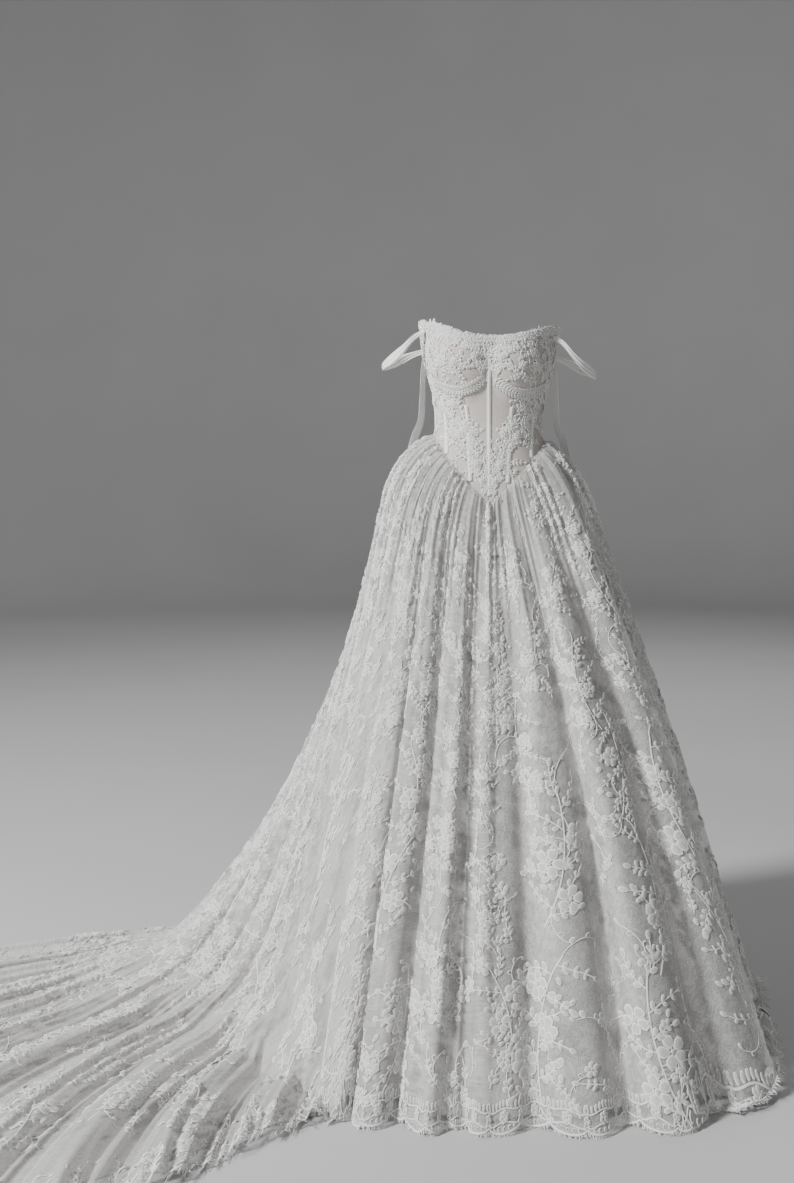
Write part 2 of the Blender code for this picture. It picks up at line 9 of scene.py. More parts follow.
import bmesh
import bpy
import numpy as np
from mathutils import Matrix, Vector


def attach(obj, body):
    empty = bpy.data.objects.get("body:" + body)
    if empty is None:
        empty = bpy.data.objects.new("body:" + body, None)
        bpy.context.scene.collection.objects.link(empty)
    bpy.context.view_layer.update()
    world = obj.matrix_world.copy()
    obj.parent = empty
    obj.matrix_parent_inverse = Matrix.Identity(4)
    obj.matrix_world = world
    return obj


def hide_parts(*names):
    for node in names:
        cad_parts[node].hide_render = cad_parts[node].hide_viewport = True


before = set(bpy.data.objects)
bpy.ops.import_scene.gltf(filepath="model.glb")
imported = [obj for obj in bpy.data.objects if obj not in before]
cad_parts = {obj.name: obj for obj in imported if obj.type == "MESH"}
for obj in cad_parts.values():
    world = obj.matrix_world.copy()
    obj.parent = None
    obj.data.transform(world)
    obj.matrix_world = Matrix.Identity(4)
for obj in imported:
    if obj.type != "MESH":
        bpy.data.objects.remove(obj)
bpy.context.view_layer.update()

# Driving sizes
FLOOR = -1.215
SEAM_GAP = 0.0006
BODICE_WALL = 0.0015
LACE_WALL = 0.0012
LINING_WALL = 0.0010
TRIM_GAP = 0.0013
TRIM_WALL = 0.0010
ROUNDNESS = 2.3
LEAN = 0.045


def table(names, *rows):
    """A short table as a dictionary from each column's name to its values."""
    columns = np.array(rows, float).T
    return dict(zip(names.split(), columns))


# The corset's cross-sections, from the hips up
BODY = table(
    "height half_width front back",
    (-0.200, 0.158, 0.098, 0.122),
    (-0.110, 0.141, 0.091, 0.106),
    (-0.045, 0.121, 0.085, 0.088),
    (0.000, 0.1145, 0.082, 0.079),
    (0.055, 0.1195, 0.088, 0.080),
    (0.108, 0.1335, 0.100, 0.087),
    (0.160, 0.1440, 0.108, 0.093),
    (0.205, 0.1480, 0.107, 0.097),
    (0.240, 0.1495, 0.104, 0.098),
)
CUP = {"angle": 35.0, "height": 0.122, "half_angle": 36.0, "half_height": 0.088, "dome": 0.016}

# Edges that run round the body, as height by angle from the centre front
NECKLINE = table(
    "angle height",
    (0, 0.181), (15, 0.182), (30, 0.188), (45, 0.198), (60, 0.207),
    (75, 0.212), (90, 0.207), (112, 0.184), (135, 0.158), (180, 0.142),
)
UNDERBUST = table(
    "angle height",
    (0, 0.098), (15, 0.077), (34, 0.063), (55, 0.071), (75, 0.088), (95, 0.104),
)
WAIST_POINT = -0.166
WAIST_SIDE = -0.036
WAIST_BACK = -0.070
WAIST_HALF_WIDTH = 0.122
WAIST_ROUNDING = 0.10

# Seams that run down the corset, as angle by share of the way from the waist seam up to the cup
INNER_SEAM = table("share angle", (0, 22.5), (0.3, 26), (0.6, 29.5), (1, 31.5))
OUTER_SEAM = table("share angle", (0, 52), (0.5, 59), (1, 62))
SIDE_SEAM = 95.0

# The skirt's hem for each direction at the waist: where the cloth ends, the direction in which it leaves the
# hips, the share of its way at which it meets the floor, and how hollow its fall is
DRAPE = table(
    "angle hem_x hem_y leave contact hollow",
    (-167, -1.40, -0.04, -111, 0.63, 2.4),
    (-157, -1.55, -0.33, -107, 0.58, 2.4),
    (-145, -1.56, -0.65, -102, 0.55, 2.4),
    (-132, -1.46, -0.92, -96, 0.54, 2.4),
    (-118, -1.27, -1.10, -88, 0.51, 2.4),
    (-102, -0.98, -1.13, -79, 0.45, 2.3),
    (-86, -0.70, -0.99, -68, 0.44, 2.1),
    (-72, -0.50, -0.81, -53, 0.55, 1.7),
    (-60, -0.36, -0.655, -35, 0.76, 1.35),
    (-50, -0.275, -0.600, -20, 0.97, 1.1),
    (-38, -0.210, -0.605, -12, 1.0, 1.0),
    (-20, -0.110, -0.630, -5, 1.0, 1.0),
    (0, 0.00, -0.635, 0, 1.0, 1.0),
    (25, 0.20, -0.635, 22, 1.0, 1.0),
    (45, 0.375, -0.605, 36, 0.99, 1.0),
    (62, 0.505, -0.520, 50, 0.94, 1.05),
    (78, 0.545, -0.370, 62, 0.89, 1.1),
    (94, 0.560, -0.190, 80, 0.87, 1.12),
    (110, 0.565, 0.020, 103, 0.87, 1.12),
    (127, 0.510, 0.250, 128, 0.88, 1.15),
    (142, 0.300, 0.430, 155, 0.90, 1.2),
    (156, -0.050, 0.520, 190, 0.86, 1.35),
    (167, -0.450, 0.440, 216, 0.79, 1.6),
    (176, -0.840, 0.295, 239, 0.73, 2.0),
    (185, -1.160, 0.165, 245, 0.68, 2.3),
)

# The skirt's folds: where each ridge starts at the waist, and how deep it is at the hem
FOLDS = table(
    "angle depth",
    (-172, 0.022), (-161, 0.032), (-150, 0.036), (-139, 0.038), (-128, 0.036), (-117, 0.038), (-106, 0.038),
    (-95, 0.036), (-84, 0.036), (-73, 0.034), (-62, 0.030), (-50, 0.030), (-38, 0.046), (-19, 0.030),
    (0, 0.034), (21, 0.044), (38, 0.050), (61, 0.058), (84, 0.050), (103, 0.042), (121, 0.042),
    (139, 0.038), (157, 0.030), (174, 0.018),
)
GATHERS_PER_FOLD = 2
GATHER_DEPTH = 0.005
FOLD_RISE = table("way depth", (0, 0.0), (0.1, 0.12), (0.2, 0.30), (0.4, 0.58), (0.7, 0.92), (1, 1.0))
HIP = 0.2
HIPS = {"half_width": 0.222, "front": 0.158, "back": 0.195, "drop": 0.150, "shoulder": 0.034}
WAIST_LAP = 0.006
LINING_LEVEL = 0.0008
LINING_MARGIN = 0.020
TRAIN_LIFT = 0.0026
BEND_LIFT = 0.055

# Where the skirts' seams run, counted in folds from the first row of FOLDS: a half is in a valley
GORES = {
    "skirt_front_left": (14, 16.5),
    "skirt_side_front_left": (16.5, 18.5),
    "skirt_side_back_left": (18.5, 21.5),
    "skirt_back_left": (21.5, 23.5),
    "skirt_back_right": (23.5, 27.5),
    "skirt_side_back_right": (27.5, 31.5),
    "skirt_side_front_right": (31.5, 34.5),
    "skirt_front_right": (34.5, 38),
}

# How far the underskirt reaches towards the lace's hem: it shows past it on the wearer's left behind
LINING_END = table(
    "angle end",
    (-140, 0.955), (-48, 0.955), (-34, 0.97), (42, 0.97), (60, 0.955),
    (95, 0.955), (109, 1.05), (120, 1.05), (134, 0.955), (170, 0.955),
)

# The straps and ribbons on the wearer's left. Each is sewn on the corset at an angle and height, and from
# there its middle line hangs free: the strap round the arm, the ribbon down to the skirt
STRAP_FRONT = ((68.0, 0.1920),)
STRAP_BACK = ((119.0, 0.1620),)
STRAP = table(
    "x y z",
    (0.1600, -0.0600, 0.1750),
    (0.1800, -0.0570, 0.1530),
    (0.2040, -0.0460, 0.1310),
    (0.2230, -0.0230, 0.1190),
    (0.2290, 0.0050, 0.1150),
    (0.2220, 0.0330, 0.1190),
    (0.2040, 0.0540, 0.1300),
    (0.1780, 0.0650, 0.1440),
    (0.1500, 0.0670, 0.1550),
)
STRAP_WIDTH = table(
    "place width",
    (0, 0.010), (0.16, 0.012), (0.3, 0.021), (0.5, 0.014), (0.72, 0.020), (0.85, 0.012), (1, 0.010),
)
ARM_AXIS = (0.150, 0.004)
STRAP_WALL = 0.0020
SEWN_GAP = 0.0001
RIBBON_TOP = ((105.0, 0.1660),)
RIBBON = table(
    "x y z",
    (0.1435, 0.0500, 0.1150),
    (0.1460, 0.0590, 0.0550),
    (0.1500, 0.0660, 0.0050),
    (0.1660, 0.0810, -0.0380),
)
RIBBON_ANGLES = {1: 121.0, -1: -117.0}
RIBBON_WAYS = (0.16, 0.18, 0.20, 0.22, 0.24, 0.26)
RIBBON_WIDTHS = (0.013, 0.026)
RIBBON_CLEAR = 0.0060
RIBBON_WALL = 0.0012


def smooth(x, xs, ys):
    """A smooth curve through a table's points, held at its ends."""
    x = np.clip(x, xs[0], xs[-1])
    slope = np.gradient(ys, xs)
    i = np.clip(np.searchsorted(xs, x, side="right") - 1, 0, len(xs) - 2)
    step = xs[i + 1] - xs[i]
    f = (x - xs[i]) / step
    rise = 3 * f**2 - 2 * f**3
    return (
        (1 - rise) * ys[i]
        + rise * ys[i + 1]
        + step * (f * (1 - f) ** 2 * slope[i] - f**2 * (1 - f) * slope[i + 1])
    )


def around(angle, rows, name):
    """A table's column at an angle, joined smoothly all the way round."""
    xs, ys = rows["angle"], rows[name]
    return smooth((angle - xs[0]) % 360 + xs[0], np.append(xs, xs[:3] + 360), np.append(ys, ys[:3]))


def step_between(x, low, high):
    """0 below low, 1 above high and smooth in between."""
    f = np.clip((x - low) / (high - low), 0, 1)
    return f * f * (3 - 2 * f)


def unit(vectors):
    """Vectors brought to length 1."""
    return vectors / np.maximum(np.linalg.norm(vectors, axis=-1, keepdims=True), 1e-9)


def round_radius(angle, half_width, front, back):
    """Distance from the axis to an oval section in a direction."""
    a = np.radians(angle)
    depth = np.where(np.cos(a) > 0, front, back)
    across = np.abs(np.sin(a) / half_width) ** ROUNDNESS
    along = np.abs(np.cos(a) / depth) ** ROUNDNESS
    return (across + along) ** (-1 / ROUNDNESS)


def heading(angle):
    """Unit vectors in plan, as x and y, in directions given in degrees."""
    a = np.radians(angle)
    return np.stack([np.sin(a), -np.cos(a)], -1)


def leaned(points):
    """The dress hangs a little lower on the wearer's left above the knees."""
    share = step_between(points[..., 2], -0.55, -0.15)
    moved = points.copy()
    moved[..., 2] -= LEAN * points[..., 0] * share
    return moved


def body_point(angle, height):
    """A point on the corset's outer face."""
    angle, height = np.broadcast_arrays(np.asarray(angle, float), np.asarray(height, float))
    sizes = [smooth(height, BODY["height"], BODY[name]) for name in ("half_width", "front", "back")]
    turned = (angle + 180) % 360 - 180
    across = (np.abs(turned) - CUP["angle"]) / CUP["half_angle"]
    upward = (height - CUP["height"]) / CUP["half_height"]
    dome = CUP["dome"] * np.clip(1 - across**2 - upward**2, 0, 1) ** 1.5
    plan = (round_radius(angle, *sizes) + dome)[..., None] * heading(angle)
    return np.concatenate([plan, height[..., None]], -1)


def seam_height(angle):
    """Height of the waist seam: a point at the front, nearly level round the back."""
    turned = np.abs((angle + 180) % 360 - 180)
    across = round_radius(turned, WAIST_HALF_WIDTH, 0.088, 0.09) * np.sin(np.radians(turned))
    share = across / WAIST_HALF_WIDTH
    rounded = np.sqrt(share**2 + WAIST_ROUNDING**2) - WAIST_ROUNDING * (1 - share**2)
    front = WAIST_POINT + (WAIST_SIDE - WAIST_POINT) * rounded
    back = WAIST_SIDE + (WAIST_BACK - WAIST_SIDE) * step_between(turned, 90, 180)
    return np.where(turned < 90, front, back)


def edge_height(rows, angle):
    """Height of a table's edge at an angle, the same on the left and right."""
    turned = np.abs((angle + 180) % 360 - 180)
    return smooth(turned, rows["angle"], rows["height"])


def edge_at(rows, angle):
    """Height of a table's edge at one angle, as a plain number."""
    return float(edge_height(rows, np.array([angle]))[0])


def fold_phase(angle):
    """Number of folds from the first ridge to an angle, so that each ridge is at a whole number."""
    first = FOLDS["angle"][0]
    ridges = np.append(FOLDS["angle"], first + 360)
    laps = np.floor((angle - first) / 360)
    return len(FOLDS["angle"]) * laps + np.interp(angle - 360 * laps, ridges, np.arange(len(ridges)))


def fold_angle(phase):
    """The angle at which the fold phase has a value."""
    count = len(FOLDS["angle"])
    ridges = np.append(FOLDS["angle"], FOLDS["angle"][0] + 360)
    laps = np.floor(phase / count)
    return 360 * laps + np.interp(phase - count * laps, np.arange(count + 1), ridges)


def travel(angle, way):
    """Share of the distance in plan from hips to hem, with ways evenly spaced along the cloth."""
    hang = np.clip(around(angle, DRAPE, "contact"), 0.5, 1)
    below = np.maximum((way - HIP) / (1 - HIP), 0)
    return below * (hang + (1 - hang) * below)


def skirt_base(angle, way, lap):
    """The skirt's smooth form. way is 0 at the waist seam, HIP at the hips and 1 at the hem."""
    waist = body_point(angle, seam_height(angle) + lap)
    level = seam_height(angle)
    direction = heading(angle)
    hips = round_radius(angle, HIPS["half_width"], HIPS["front"], HIPS["back"])[..., None] * direction
    hip_level = level - HIPS["drop"]
    hem = np.stack([around(angle, DRAPE, "hem_x"), around(angle, DRAPE, "hem_y")], -1)
    contact = around(angle, DRAPE, "contact")
    hollow = around(angle, DRAPE, "hollow")
    leave = np.linalg.norm(hem - hips, axis=-1)[..., None] * heading(around_heading(angle))
    fall = (FLOOR - hip_level) * hollow / contact
    # Down from the hips the cloth swings out in plan while it falls to the floor
    s = travel(angle, way)[..., None]
    plan = hips + leave * s + (hem - hips - leave) * s**2
    left = np.clip(1 - s[..., 0] / contact, 0, 1) ** hollow
    lower = np.concatenate([plan, (FLOOR + (hip_level - FLOOR) * left)[..., None]], -1)
    # From the seam to the hips it rounds out over a soft shoulder
    bend_level = level - HIPS["shoulder"]
    back_off = ((bend_level - hip_level) / fall)[..., None]
    bend = np.concatenate([hips + leave * back_off, bend_level[..., None]], -1)
    hip_point = np.concatenate([hips, hip_level[..., None]], -1)
    f = np.clip(way / HIP, 0, 1)[..., None]
    upper = (1 - f) ** 2 * waist + 2 * f * (1 - f) * bend + f**2 * hip_point
    return np.where((way < HIP)[..., None], upper, lower)


def around_heading(angle):
    """The direction in which the cloth leaves the hips, unwrapped so that it turns one way only."""
    xs = DRAPE["angle"]
    lap = np.append(xs, xs[:3] + 360)
    ys = np.append(DRAPE["leave"], DRAPE["leave"][:3] + 360)
    return smooth((angle - xs[0]) % 360 + xs[0], lap, ys)


def outward(surface, angle, way):
    """Unit normals of a surface given as a function of angle and way, pointing out of the dress."""
    turn, move = 0.02, 0.0005
    after, before = way + move, np.maximum(way - move, 0)
    across = surface(angle + turn, way) - surface(angle - turn, way)
    down = surface(angle, after) - surface(angle, before)
    return unit(np.cross(down, across))


def on_floor(angle, way):
    """0 where the skirt hangs, 1 where the train lies on the floor."""
    contact = around(angle, DRAPE, "contact")
    settles = np.interp(around(angle, DRAPE, "hollow"), (1.2, 2.0), (0.90, 0.62))
    return step_between(travel(angle, way) / contact, settles, 1.0) * step_between(1 - contact, 0.02, 0.16)


def fold_depth(angle, way):
    """How far the folds at an angle stand out, from none at the waist seam to the whole at the hem."""
    return around(angle, FOLDS, "depth") * smooth(way, FOLD_RISE["way"], FOLD_RISE["depth"])


def base_normals(angle, way):
    """Unit vectors straight out of the skirt's smooth form, and the same ones turned level."""
    normal = outward(lambda a, w: skirt_base(a, w, WAIST_LAP), angle, np.clip(way, 0.02, 0.98))
    return normal, unit(normal * (1, 1, 0))


def moved_out(points, angle, way, folds, clearance, rise):
    """Moves the smooth form out level by the folds and straight out by a clearance, or up where it lies."""
    normal, level = base_normals(angle, way)
    floor = on_floor(angle, way)
    hang = level * folds[..., None] + normal * clearance[..., None]
    up = np.zeros_like(points)
    up[..., 2] = rise * floor
    return leaned(points + hang * (1 - floor)[..., None] + up)


def lace_surface(angle, way):
    """The outer face of the lace skirt, with its folds and gathers."""
    phase = fold_phase(angle)
    ridge = 0.5 + 0.5 * np.cos(2 * math.pi * phase)
    gather = 0.5 + 0.5 * np.cos(2 * math.pi * phase * GATHERS_PER_FOLD)
    near_waist = 1 - step_between(way, 0.06, 0.34)
    depth = fold_depth(angle, way)
    centre = 0.5 * step_between(way, 0.0, HIP)
    folds = depth * (ridge - centre) + GATHER_DEPTH * near_waist * gather
    covered = step_between(around(angle, LINING_END, "end"), 0.96, 1.0)
    ends = 1 - step_between(way, 0.94, 1.0) * (1 - covered)
    lie = LACE_WALL + TRAIN_LIFT * (0.4 + 0.6 * ends) + depth * ridge * (0.45 + 0.55 * ends)
    lie = lie + BEND_LIFT * (1 - on_floor(angle, way))
    clearance = np.full(np.shape(angle), LACE_WALL + SEAM_GAP)
    return moved_out(skirt_base(angle, way, WAIST_LAP), angle, way, folds, clearance, lie)


def lining_surface(angle, way):
    """The outer face of the plain underskirt, inside the lace with folds half as deep."""
    phase = fold_phase(angle)
    ridge = 0.5 + 0.5 * np.cos(2 * math.pi * phase)
    depth = fold_depth(angle, way)
    clearance = -LINING_MARGIN * step_between(way, 0.0, HIP)
    lie = np.full(np.shape(angle), LINING_WALL)
    folds = depth * (0.5 * ridge - 0.5)
    return moved_out(skirt_base(angle, way, -LINING_LEVEL), angle, way, folds, clearance, lie)


def body_grid(angles, heights):
    """Points and outward normals of the corset's outer face, leaned with the dress."""

    def face(a, h):
        return leaned(body_point(a, h))

    turn, rise = 0.05, 0.0005
    across = face(angles + turn, heights) - face(angles - turn, heights)
    upward = face(angles, heights + rise) - face(angles, heights - rise)
    return face(angles, heights), unit(np.cross(across, upward))


def sewn(places, side, away):
    """Points and normals at places on the corset, a distance from its face."""
    angles, heights = np.array(places).T
    points, normals = body_grid(angles * side, heights)
    return points + normals * away, normals


def free_line(rows, side):
    """A table's middle line on one side, leaned with the dress."""
    return leaned(np.stack([rows["x"] * side, rows["y"], rows["z"]], -1))


def resampled(values, count):
    """Evenly spaced values on a smooth curve through rows of values."""
    places = np.arange(len(values), dtype=float)
    fine = np.linspace(0, places[-1], count)
    return np.stack([smooth(fine, places, values[:, i]) for i in range(values.shape[1])], -1)


# The fine grids on which the layers of the skirt are sampled
FOLD_COUNT = 24
FIRST_PHASE = 14
LACE_SAMPLES = {"columns": 40, "rows": 260}
LINING_SAMPLES = {"columns": 14, "rows": 110}

# The grids of the gores: rows, columns to a fold, and how much closer the net's rows are at the waist
LINING_ROWS = 52
NET_ROWS = 90
NET_COLUMNS = 28
TRAIN_COLUMNS = 36
NET_CROWDING = 1.12

# Scallops to a fold, and their depth as a share of the length
SCALLOPS = 3
HEM_DEPTH = 0.008

# How far cloth and threads stay above the floor, and the least width of cloth to a fold
CLOTH_LIFT = 0.0008
THREAD_LIFT = 0.0012
LEAST_SPEED = 0.02

# Steps between clusters and between sprigs down the cloth, and the share of places that have a sprig
CLUSTER_STEP = (0.21, 0.28)
SPRIG_STEP = (0.08, 0.13)
SPRIG_SHARE = 0.66

# How far down the cloth the lace thins out on the train, and by how much
TRAIN_START = 1.2
TRAIN_STEP = 1.35
TRAIN_SPRIG_SHARE = 0.45

# The width of a scallop's border as drawn, and the spacing of the fringe's threads
BORDER_WIDTH = 0.09
FRINGE_STEP = 0.0042


def wave(phase, cycles, shift=0.0):
    """A wave that closes on itself round the skirt."""
    return np.cos(2 * math.pi * phase * cycles / FOLD_COUNT + shift)


def ridge_line(turns):
    """A sharp crest at each whole number."""
    return 1 - np.abs(np.sin(math.pi * turns))


def lace_ripples(phase, way, floor):
    """The small gathers, folds and creases of the lace, as a height out of the main form."""
    near = (1 - step_between(way, 0.06, 0.45)) * step_between(way, 0.0, 0.015)
    wide = wave(phase, 101, 1.4 * wave(phase, 7))
    narrow = wave(phase, 139, 1.1 * wave(phase, 11))
    gathers = 0.5 + 0.3 * wide + 0.2 * narrow
    hanging = step_between(way, 0.2, 0.6) * (1 - floor)
    soft = 0.5 + 0.5 * wave(phase, 53, 1.6 * way + 1.3 * wave(phase, 5))
    broad = ridge_line(phase * 97 / FOLD_COUNT + 0.3 * wave(phase, 13) + 0.6 * way) ** 1.5
    fine = ridge_line(phase * 173 / FOLD_COUNT + 0.25 * wave(phase, 19) - 0.8 * way) ** 1.3
    fade = 0.3 + 0.35 * (1 + wave(phase, 29, 7 * way))
    creases = 0.016 * broad * fade + 0.008 * fine
    return 0.0085 * gathers**1.6 * near + 0.009 * soft * hanging + creases * floor


def lining_ripples(phase, way, floor):
    """Slow, shallow waves of the underskirt, into the dress."""
    slow = 0.5 + 0.5 * wave(phase, 31, 1.2 * way + wave(phase, 5))
    return -0.004 * slow * step_between(way, 0.15, 0.5) * (1 - floor)


def grid_normals(points):
    """Unit normals out of a grid that closes on itself along its second axis."""
    core = points[:, :-1]
    across = np.roll(core, -1, 1) - np.roll(core, 1, 1)
    normal = unit(np.cross(np.gradient(core, axis=0), across))
    return np.concatenate([normal, normal[:, :1]], 1)


def lengths(points, axis):
    """Distances along the cloth from the first row or column."""
    steps = np.linalg.norm(np.diff(points, axis=axis), axis=-1)
    start = np.zeros_like(np.take(steps, [0], axis))
    return np.concatenate([start, np.cumsum(steps, axis)], axis)


def skirt_layer(surface, ripples, columns, rows):
    """One layer of the skirt, finely sampled, with the distances round and down the cloth."""
    phase = FIRST_PHASE + np.arange(FOLD_COUNT * columns + 1) / columns
    phases, ways = np.meshgrid(phase, np.linspace(0, 1, rows))
    angles = fold_angle(phases)
    points = surface(angles, ways)
    height = ripples(phases, ways, on_floor(angles, ways))
    points = points + grid_normals(points) * height[..., None]
    points[..., 2] = np.maximum(points[..., 2], FLOOR + CLOTH_LIFT)
    layer = {"points": points, "normals": grid_normals(points)}
    layer["round"], layer["down"] = lengths(points, 1), lengths(points, 0)
    layer["round_speed"] = np.gradient(layer["round"], 1 / columns, axis=1)
    layer["down_speed"] = np.gradient(layer["down"], 1 / (rows - 1), axis=0)
    layer["floor"] = on_floor(angles, ways)
    return layer


def sampled(layer, name, phase, way):
    """A layer's values at fold phases and ways, blended between its samples."""
    values = layer[name]
    rows, columns = values.shape[:2]
    phase, way = np.broadcast_arrays(np.asarray(phase, float), np.asarray(way, float))
    place = (phase - FIRST_PHASE) / FOLD_COUNT % 1 * (columns - 1)
    level = np.clip(way, 0, 1) * (rows - 1)
    c = np.minimum(place.astype(int), columns - 2)
    r = np.minimum(level.astype(int), rows - 2)
    x, y = place - c, level - r
    if values.ndim == 3:
        x, y = x[..., None], y[..., None]
    top = values[r, c] * (1 - x) + values[r, c + 1] * x
    low = values[r + 1, c] * (1 - x) + values[r + 1, c + 1] * x
    return top * (1 - y) + low * y


def round_length(layer, phase, way):
    """Distance round the cloth to a fold phase, counted on past a full lap."""
    laps = np.floor((phase - FIRST_PHASE) / FOLD_COUNT)
    whole = layer["round"][:, -1]
    total = np.interp(way, np.linspace(0, 1, len(whole)), whole)
    return sampled(layer, "round", phase, way) + laps * total


def hem_way(phase):
    """Where the lace ends, in rounded scallops."""
    return 1 - HEM_DEPTH * (1 - np.abs(np.sin(math.pi * phase * SCALLOPS)) ** 0.7)


# Materials


def new_material(name, colour, roughness, sheen=0.0):
    """A material, its node tree and its shader."""
    made = bpy.data.materials.new(name)
    made.use_nodes = True
    tree = made.node_tree
    shader = tree.nodes["Principled BSDF"]
    shader.inputs["Base Color"].default_value = (*colour, 1)
    shader.inputs["Roughness"].default_value = roughness
    shader.inputs["Sheen Weight"].default_value = sheen
    return made, tree, shader


def texture(tree, kind, space, scale, **sockets):
    """A procedural texture in the piece's own coordinates, in turns to the metre."""
    source = tree.nodes.new("ShaderNodeTexCoord")
    mapping = tree.nodes.new("ShaderNodeMapping")
    made = tree.nodes.new(kind)
    mapping.inputs["Scale"].default_value = scale if hasattr(scale, "__len__") else (scale, scale, scale)
    tree.links.new(source.outputs[space], mapping.inputs["Vector"])
    tree.links.new(mapping.outputs["Vector"], made.inputs["Vector"])
    made.inputs["Scale"].default_value = 1.0
    for name, value in sockets.items():
        made.inputs[name].default_value = value
    return made


def ramp(tree, source, *stops):
    """A colour ramp on a value, with stops as place and colour."""
    made = tree.nodes.new("ShaderNodeValToRGB")
    elements = made.color_ramp.elements
    while len(elements) < len(stops):
        elements.new(0.5)
    for element, (place, colour) in zip(elements, stops):
        element.position = place
        element.color = (*colour, 1) if len(colour) == 3 else (colour[0],) * 3 + (1,)
    tree.links.new(source, made.inputs["Fac"])
    return made.outputs["Color"]


def toned(tree, fac, low, high):
    """A slow change between two colours over a noise's middle values."""
    return ramp(tree, fac, (0.3, low), (0.7, high))


def mixed(tree, share, first, second, mode="MIX"):
    """Two colours mixed by a share that is a number or a socket."""
    made = tree.nodes.new("ShaderNodeMix")
    made.data_type = "RGBA"
    made.blend_type = mode
    sockets = {0: share, 6: first, 7: second}
    for index, value in sockets.items():
        if hasattr(value, "is_linked"):
            tree.links.new(value, made.inputs[index])
        elif index == 0:
            made.inputs[0].default_value = value
        else:
            made.inputs[index].default_value = (*value, 1)
    return made.outputs[2]


def bumped(tree, shader, height, strength, distance):
    """Relief on a shader from a height."""
    made = tree.nodes.new("ShaderNodeBump")
    made.inputs["Strength"].default_value = strength
    made.inputs["Distance"].default_value = distance
    tree.links.new(height, made.inputs["Height"])
    tree.links.new(made.outputs["Normal"], shader.inputs["Normal"])


def net_material(name, ground, thread, alpha):
    """Fine hexagonal net with faint woven leaves between its motifs."""
    made, tree, shader = new_material(name, ground, 0.8, 0.25)
    cells = texture(tree, "ShaderNodeTexVoronoi", "UV", 420)
    cells.feature = "DISTANCE_TO_EDGE"
    mesh = ramp(tree, cells.outputs["Distance"], (0.05, (1,)), (0.16, (0,)))
    warp = texture(tree, "ShaderNodeTexNoise", "UV", 30, Detail=3.0)
    leaves = texture(tree, "ShaderNodeTexVoronoi", "UV", (62, 44, 60), Randomness=1.0)
    vines = texture(tree, "ShaderNodeTexNoise", "UV", (42, 30, 40), Detail=2.0, Distortion=1.4)
    patches = texture(tree, "ShaderNodeTexNoise", "UV", (9, 6, 8), Detail=2.0)
    spots = ramp(tree, leaves.outputs["Distance"], (0.24, (1,)), (0.40, (0,)))
    where = ramp(tree, patches.outputs["Fac"], (0.42, (0,)), (0.56, (1,)))
    lines = ramp(tree, vines.outputs["Fac"], (0.44, (0,)), (0.47, (1,)), (0.50, (1,)), (0.53, (0,)))
    woven = mixed(tree, 1.0, spots, where, "MULTIPLY")
    colour = mixed(tree, woven, ground, thread)
    colour = mixed(tree, lines, colour, thread)
    colour = mixed(tree, mesh, colour, thread)
    shade = toned(tree, warp.outputs["Fac"], (0.93, 0.93, 0.93), (1, 1, 1))
    colour = mixed(tree, 1.0, colour, shade, "MULTIPLY")
    tree.links.new(colour, shader.inputs["Base Color"])
    bumped(tree, shader, cells.outputs["Distance"], 0.4, 0.0006)
    shader.inputs["Alpha"].default_value = alpha
    return made


def thread_material(name, colour, roughness, scale):
    """Twisted white thread or close embroidery."""
    made, tree, shader = new_material(name, colour, roughness, 0.2)
    twist = texture(tree, "ShaderNodeTexWave", "UV", scale, Distortion=2.0, Detail=2.0)
    noise = texture(tree, "ShaderNodeTexNoise", "Object", 90, Detail=4.0)
    tone = toned(tree, noise.outputs["Fac"], tuple(0.88 * c for c in colour), colour)
    dark = tuple(0.8 * c for c in colour)
    shade = mixed(tree, twist.outputs["Fac"], dark, colour)
    tree.links.new(mixed(tree, 0.35, tone, shade), shader.inputs["Base Color"])
    bumped(tree, shader, twist.outputs["Fac"], 0.5, 0.0004)
    return made


def lining_material():
    """Smooth matt cloth with a close plain weave."""
    colour = (0.32, 0.312, 0.30)
    made, tree, shader = new_material("lining_cloth", colour, 0.62, 0.3)
    weave = texture(tree, "ShaderNodeTexWave", "UV", 900, Distortion=0.6)
    noise = texture(tree, "ShaderNodeTexNoise", "Object", 6, Detail=4.0)
    tone = toned(tree, noise.outputs["Fac"], (0.29, 0.282, 0.27), (0.35, 0.342, 0.33))
    tree.links.new(tone, shader.inputs["Base Color"])
    bumped(tree, shader, weave.outputs["Fac"], 0.25, 0.0003)
    return made


def corset_material():
    """Skin-toned lining seen through fine net."""
    made, tree, shader = new_material("corset_mesh", (0.42, 0.37, 0.34), 0.7, 0.2)
    cells = texture(tree, "ShaderNodeTexVoronoi", "UV", 620)
    cells.feature = "DISTANCE_TO_EDGE"
    mesh = ramp(tree, cells.outputs["Distance"], (0.04, (1,)), (0.15, (0,)))
    noise = texture(tree, "ShaderNodeTexNoise", "UV", (16, 5, 10), Detail=4.0)
    tone = toned(tree, noise.outputs["Fac"], (0.40, 0.35, 0.32), (0.46, 0.41, 0.38))
    tree.links.new(mixed(tree, mesh, tone, (0.62, 0.585, 0.56)), shader.inputs["Base Color"])
    bumped(tree, shader, cells.outputs["Distance"], 0.4, 0.0005)
    return made


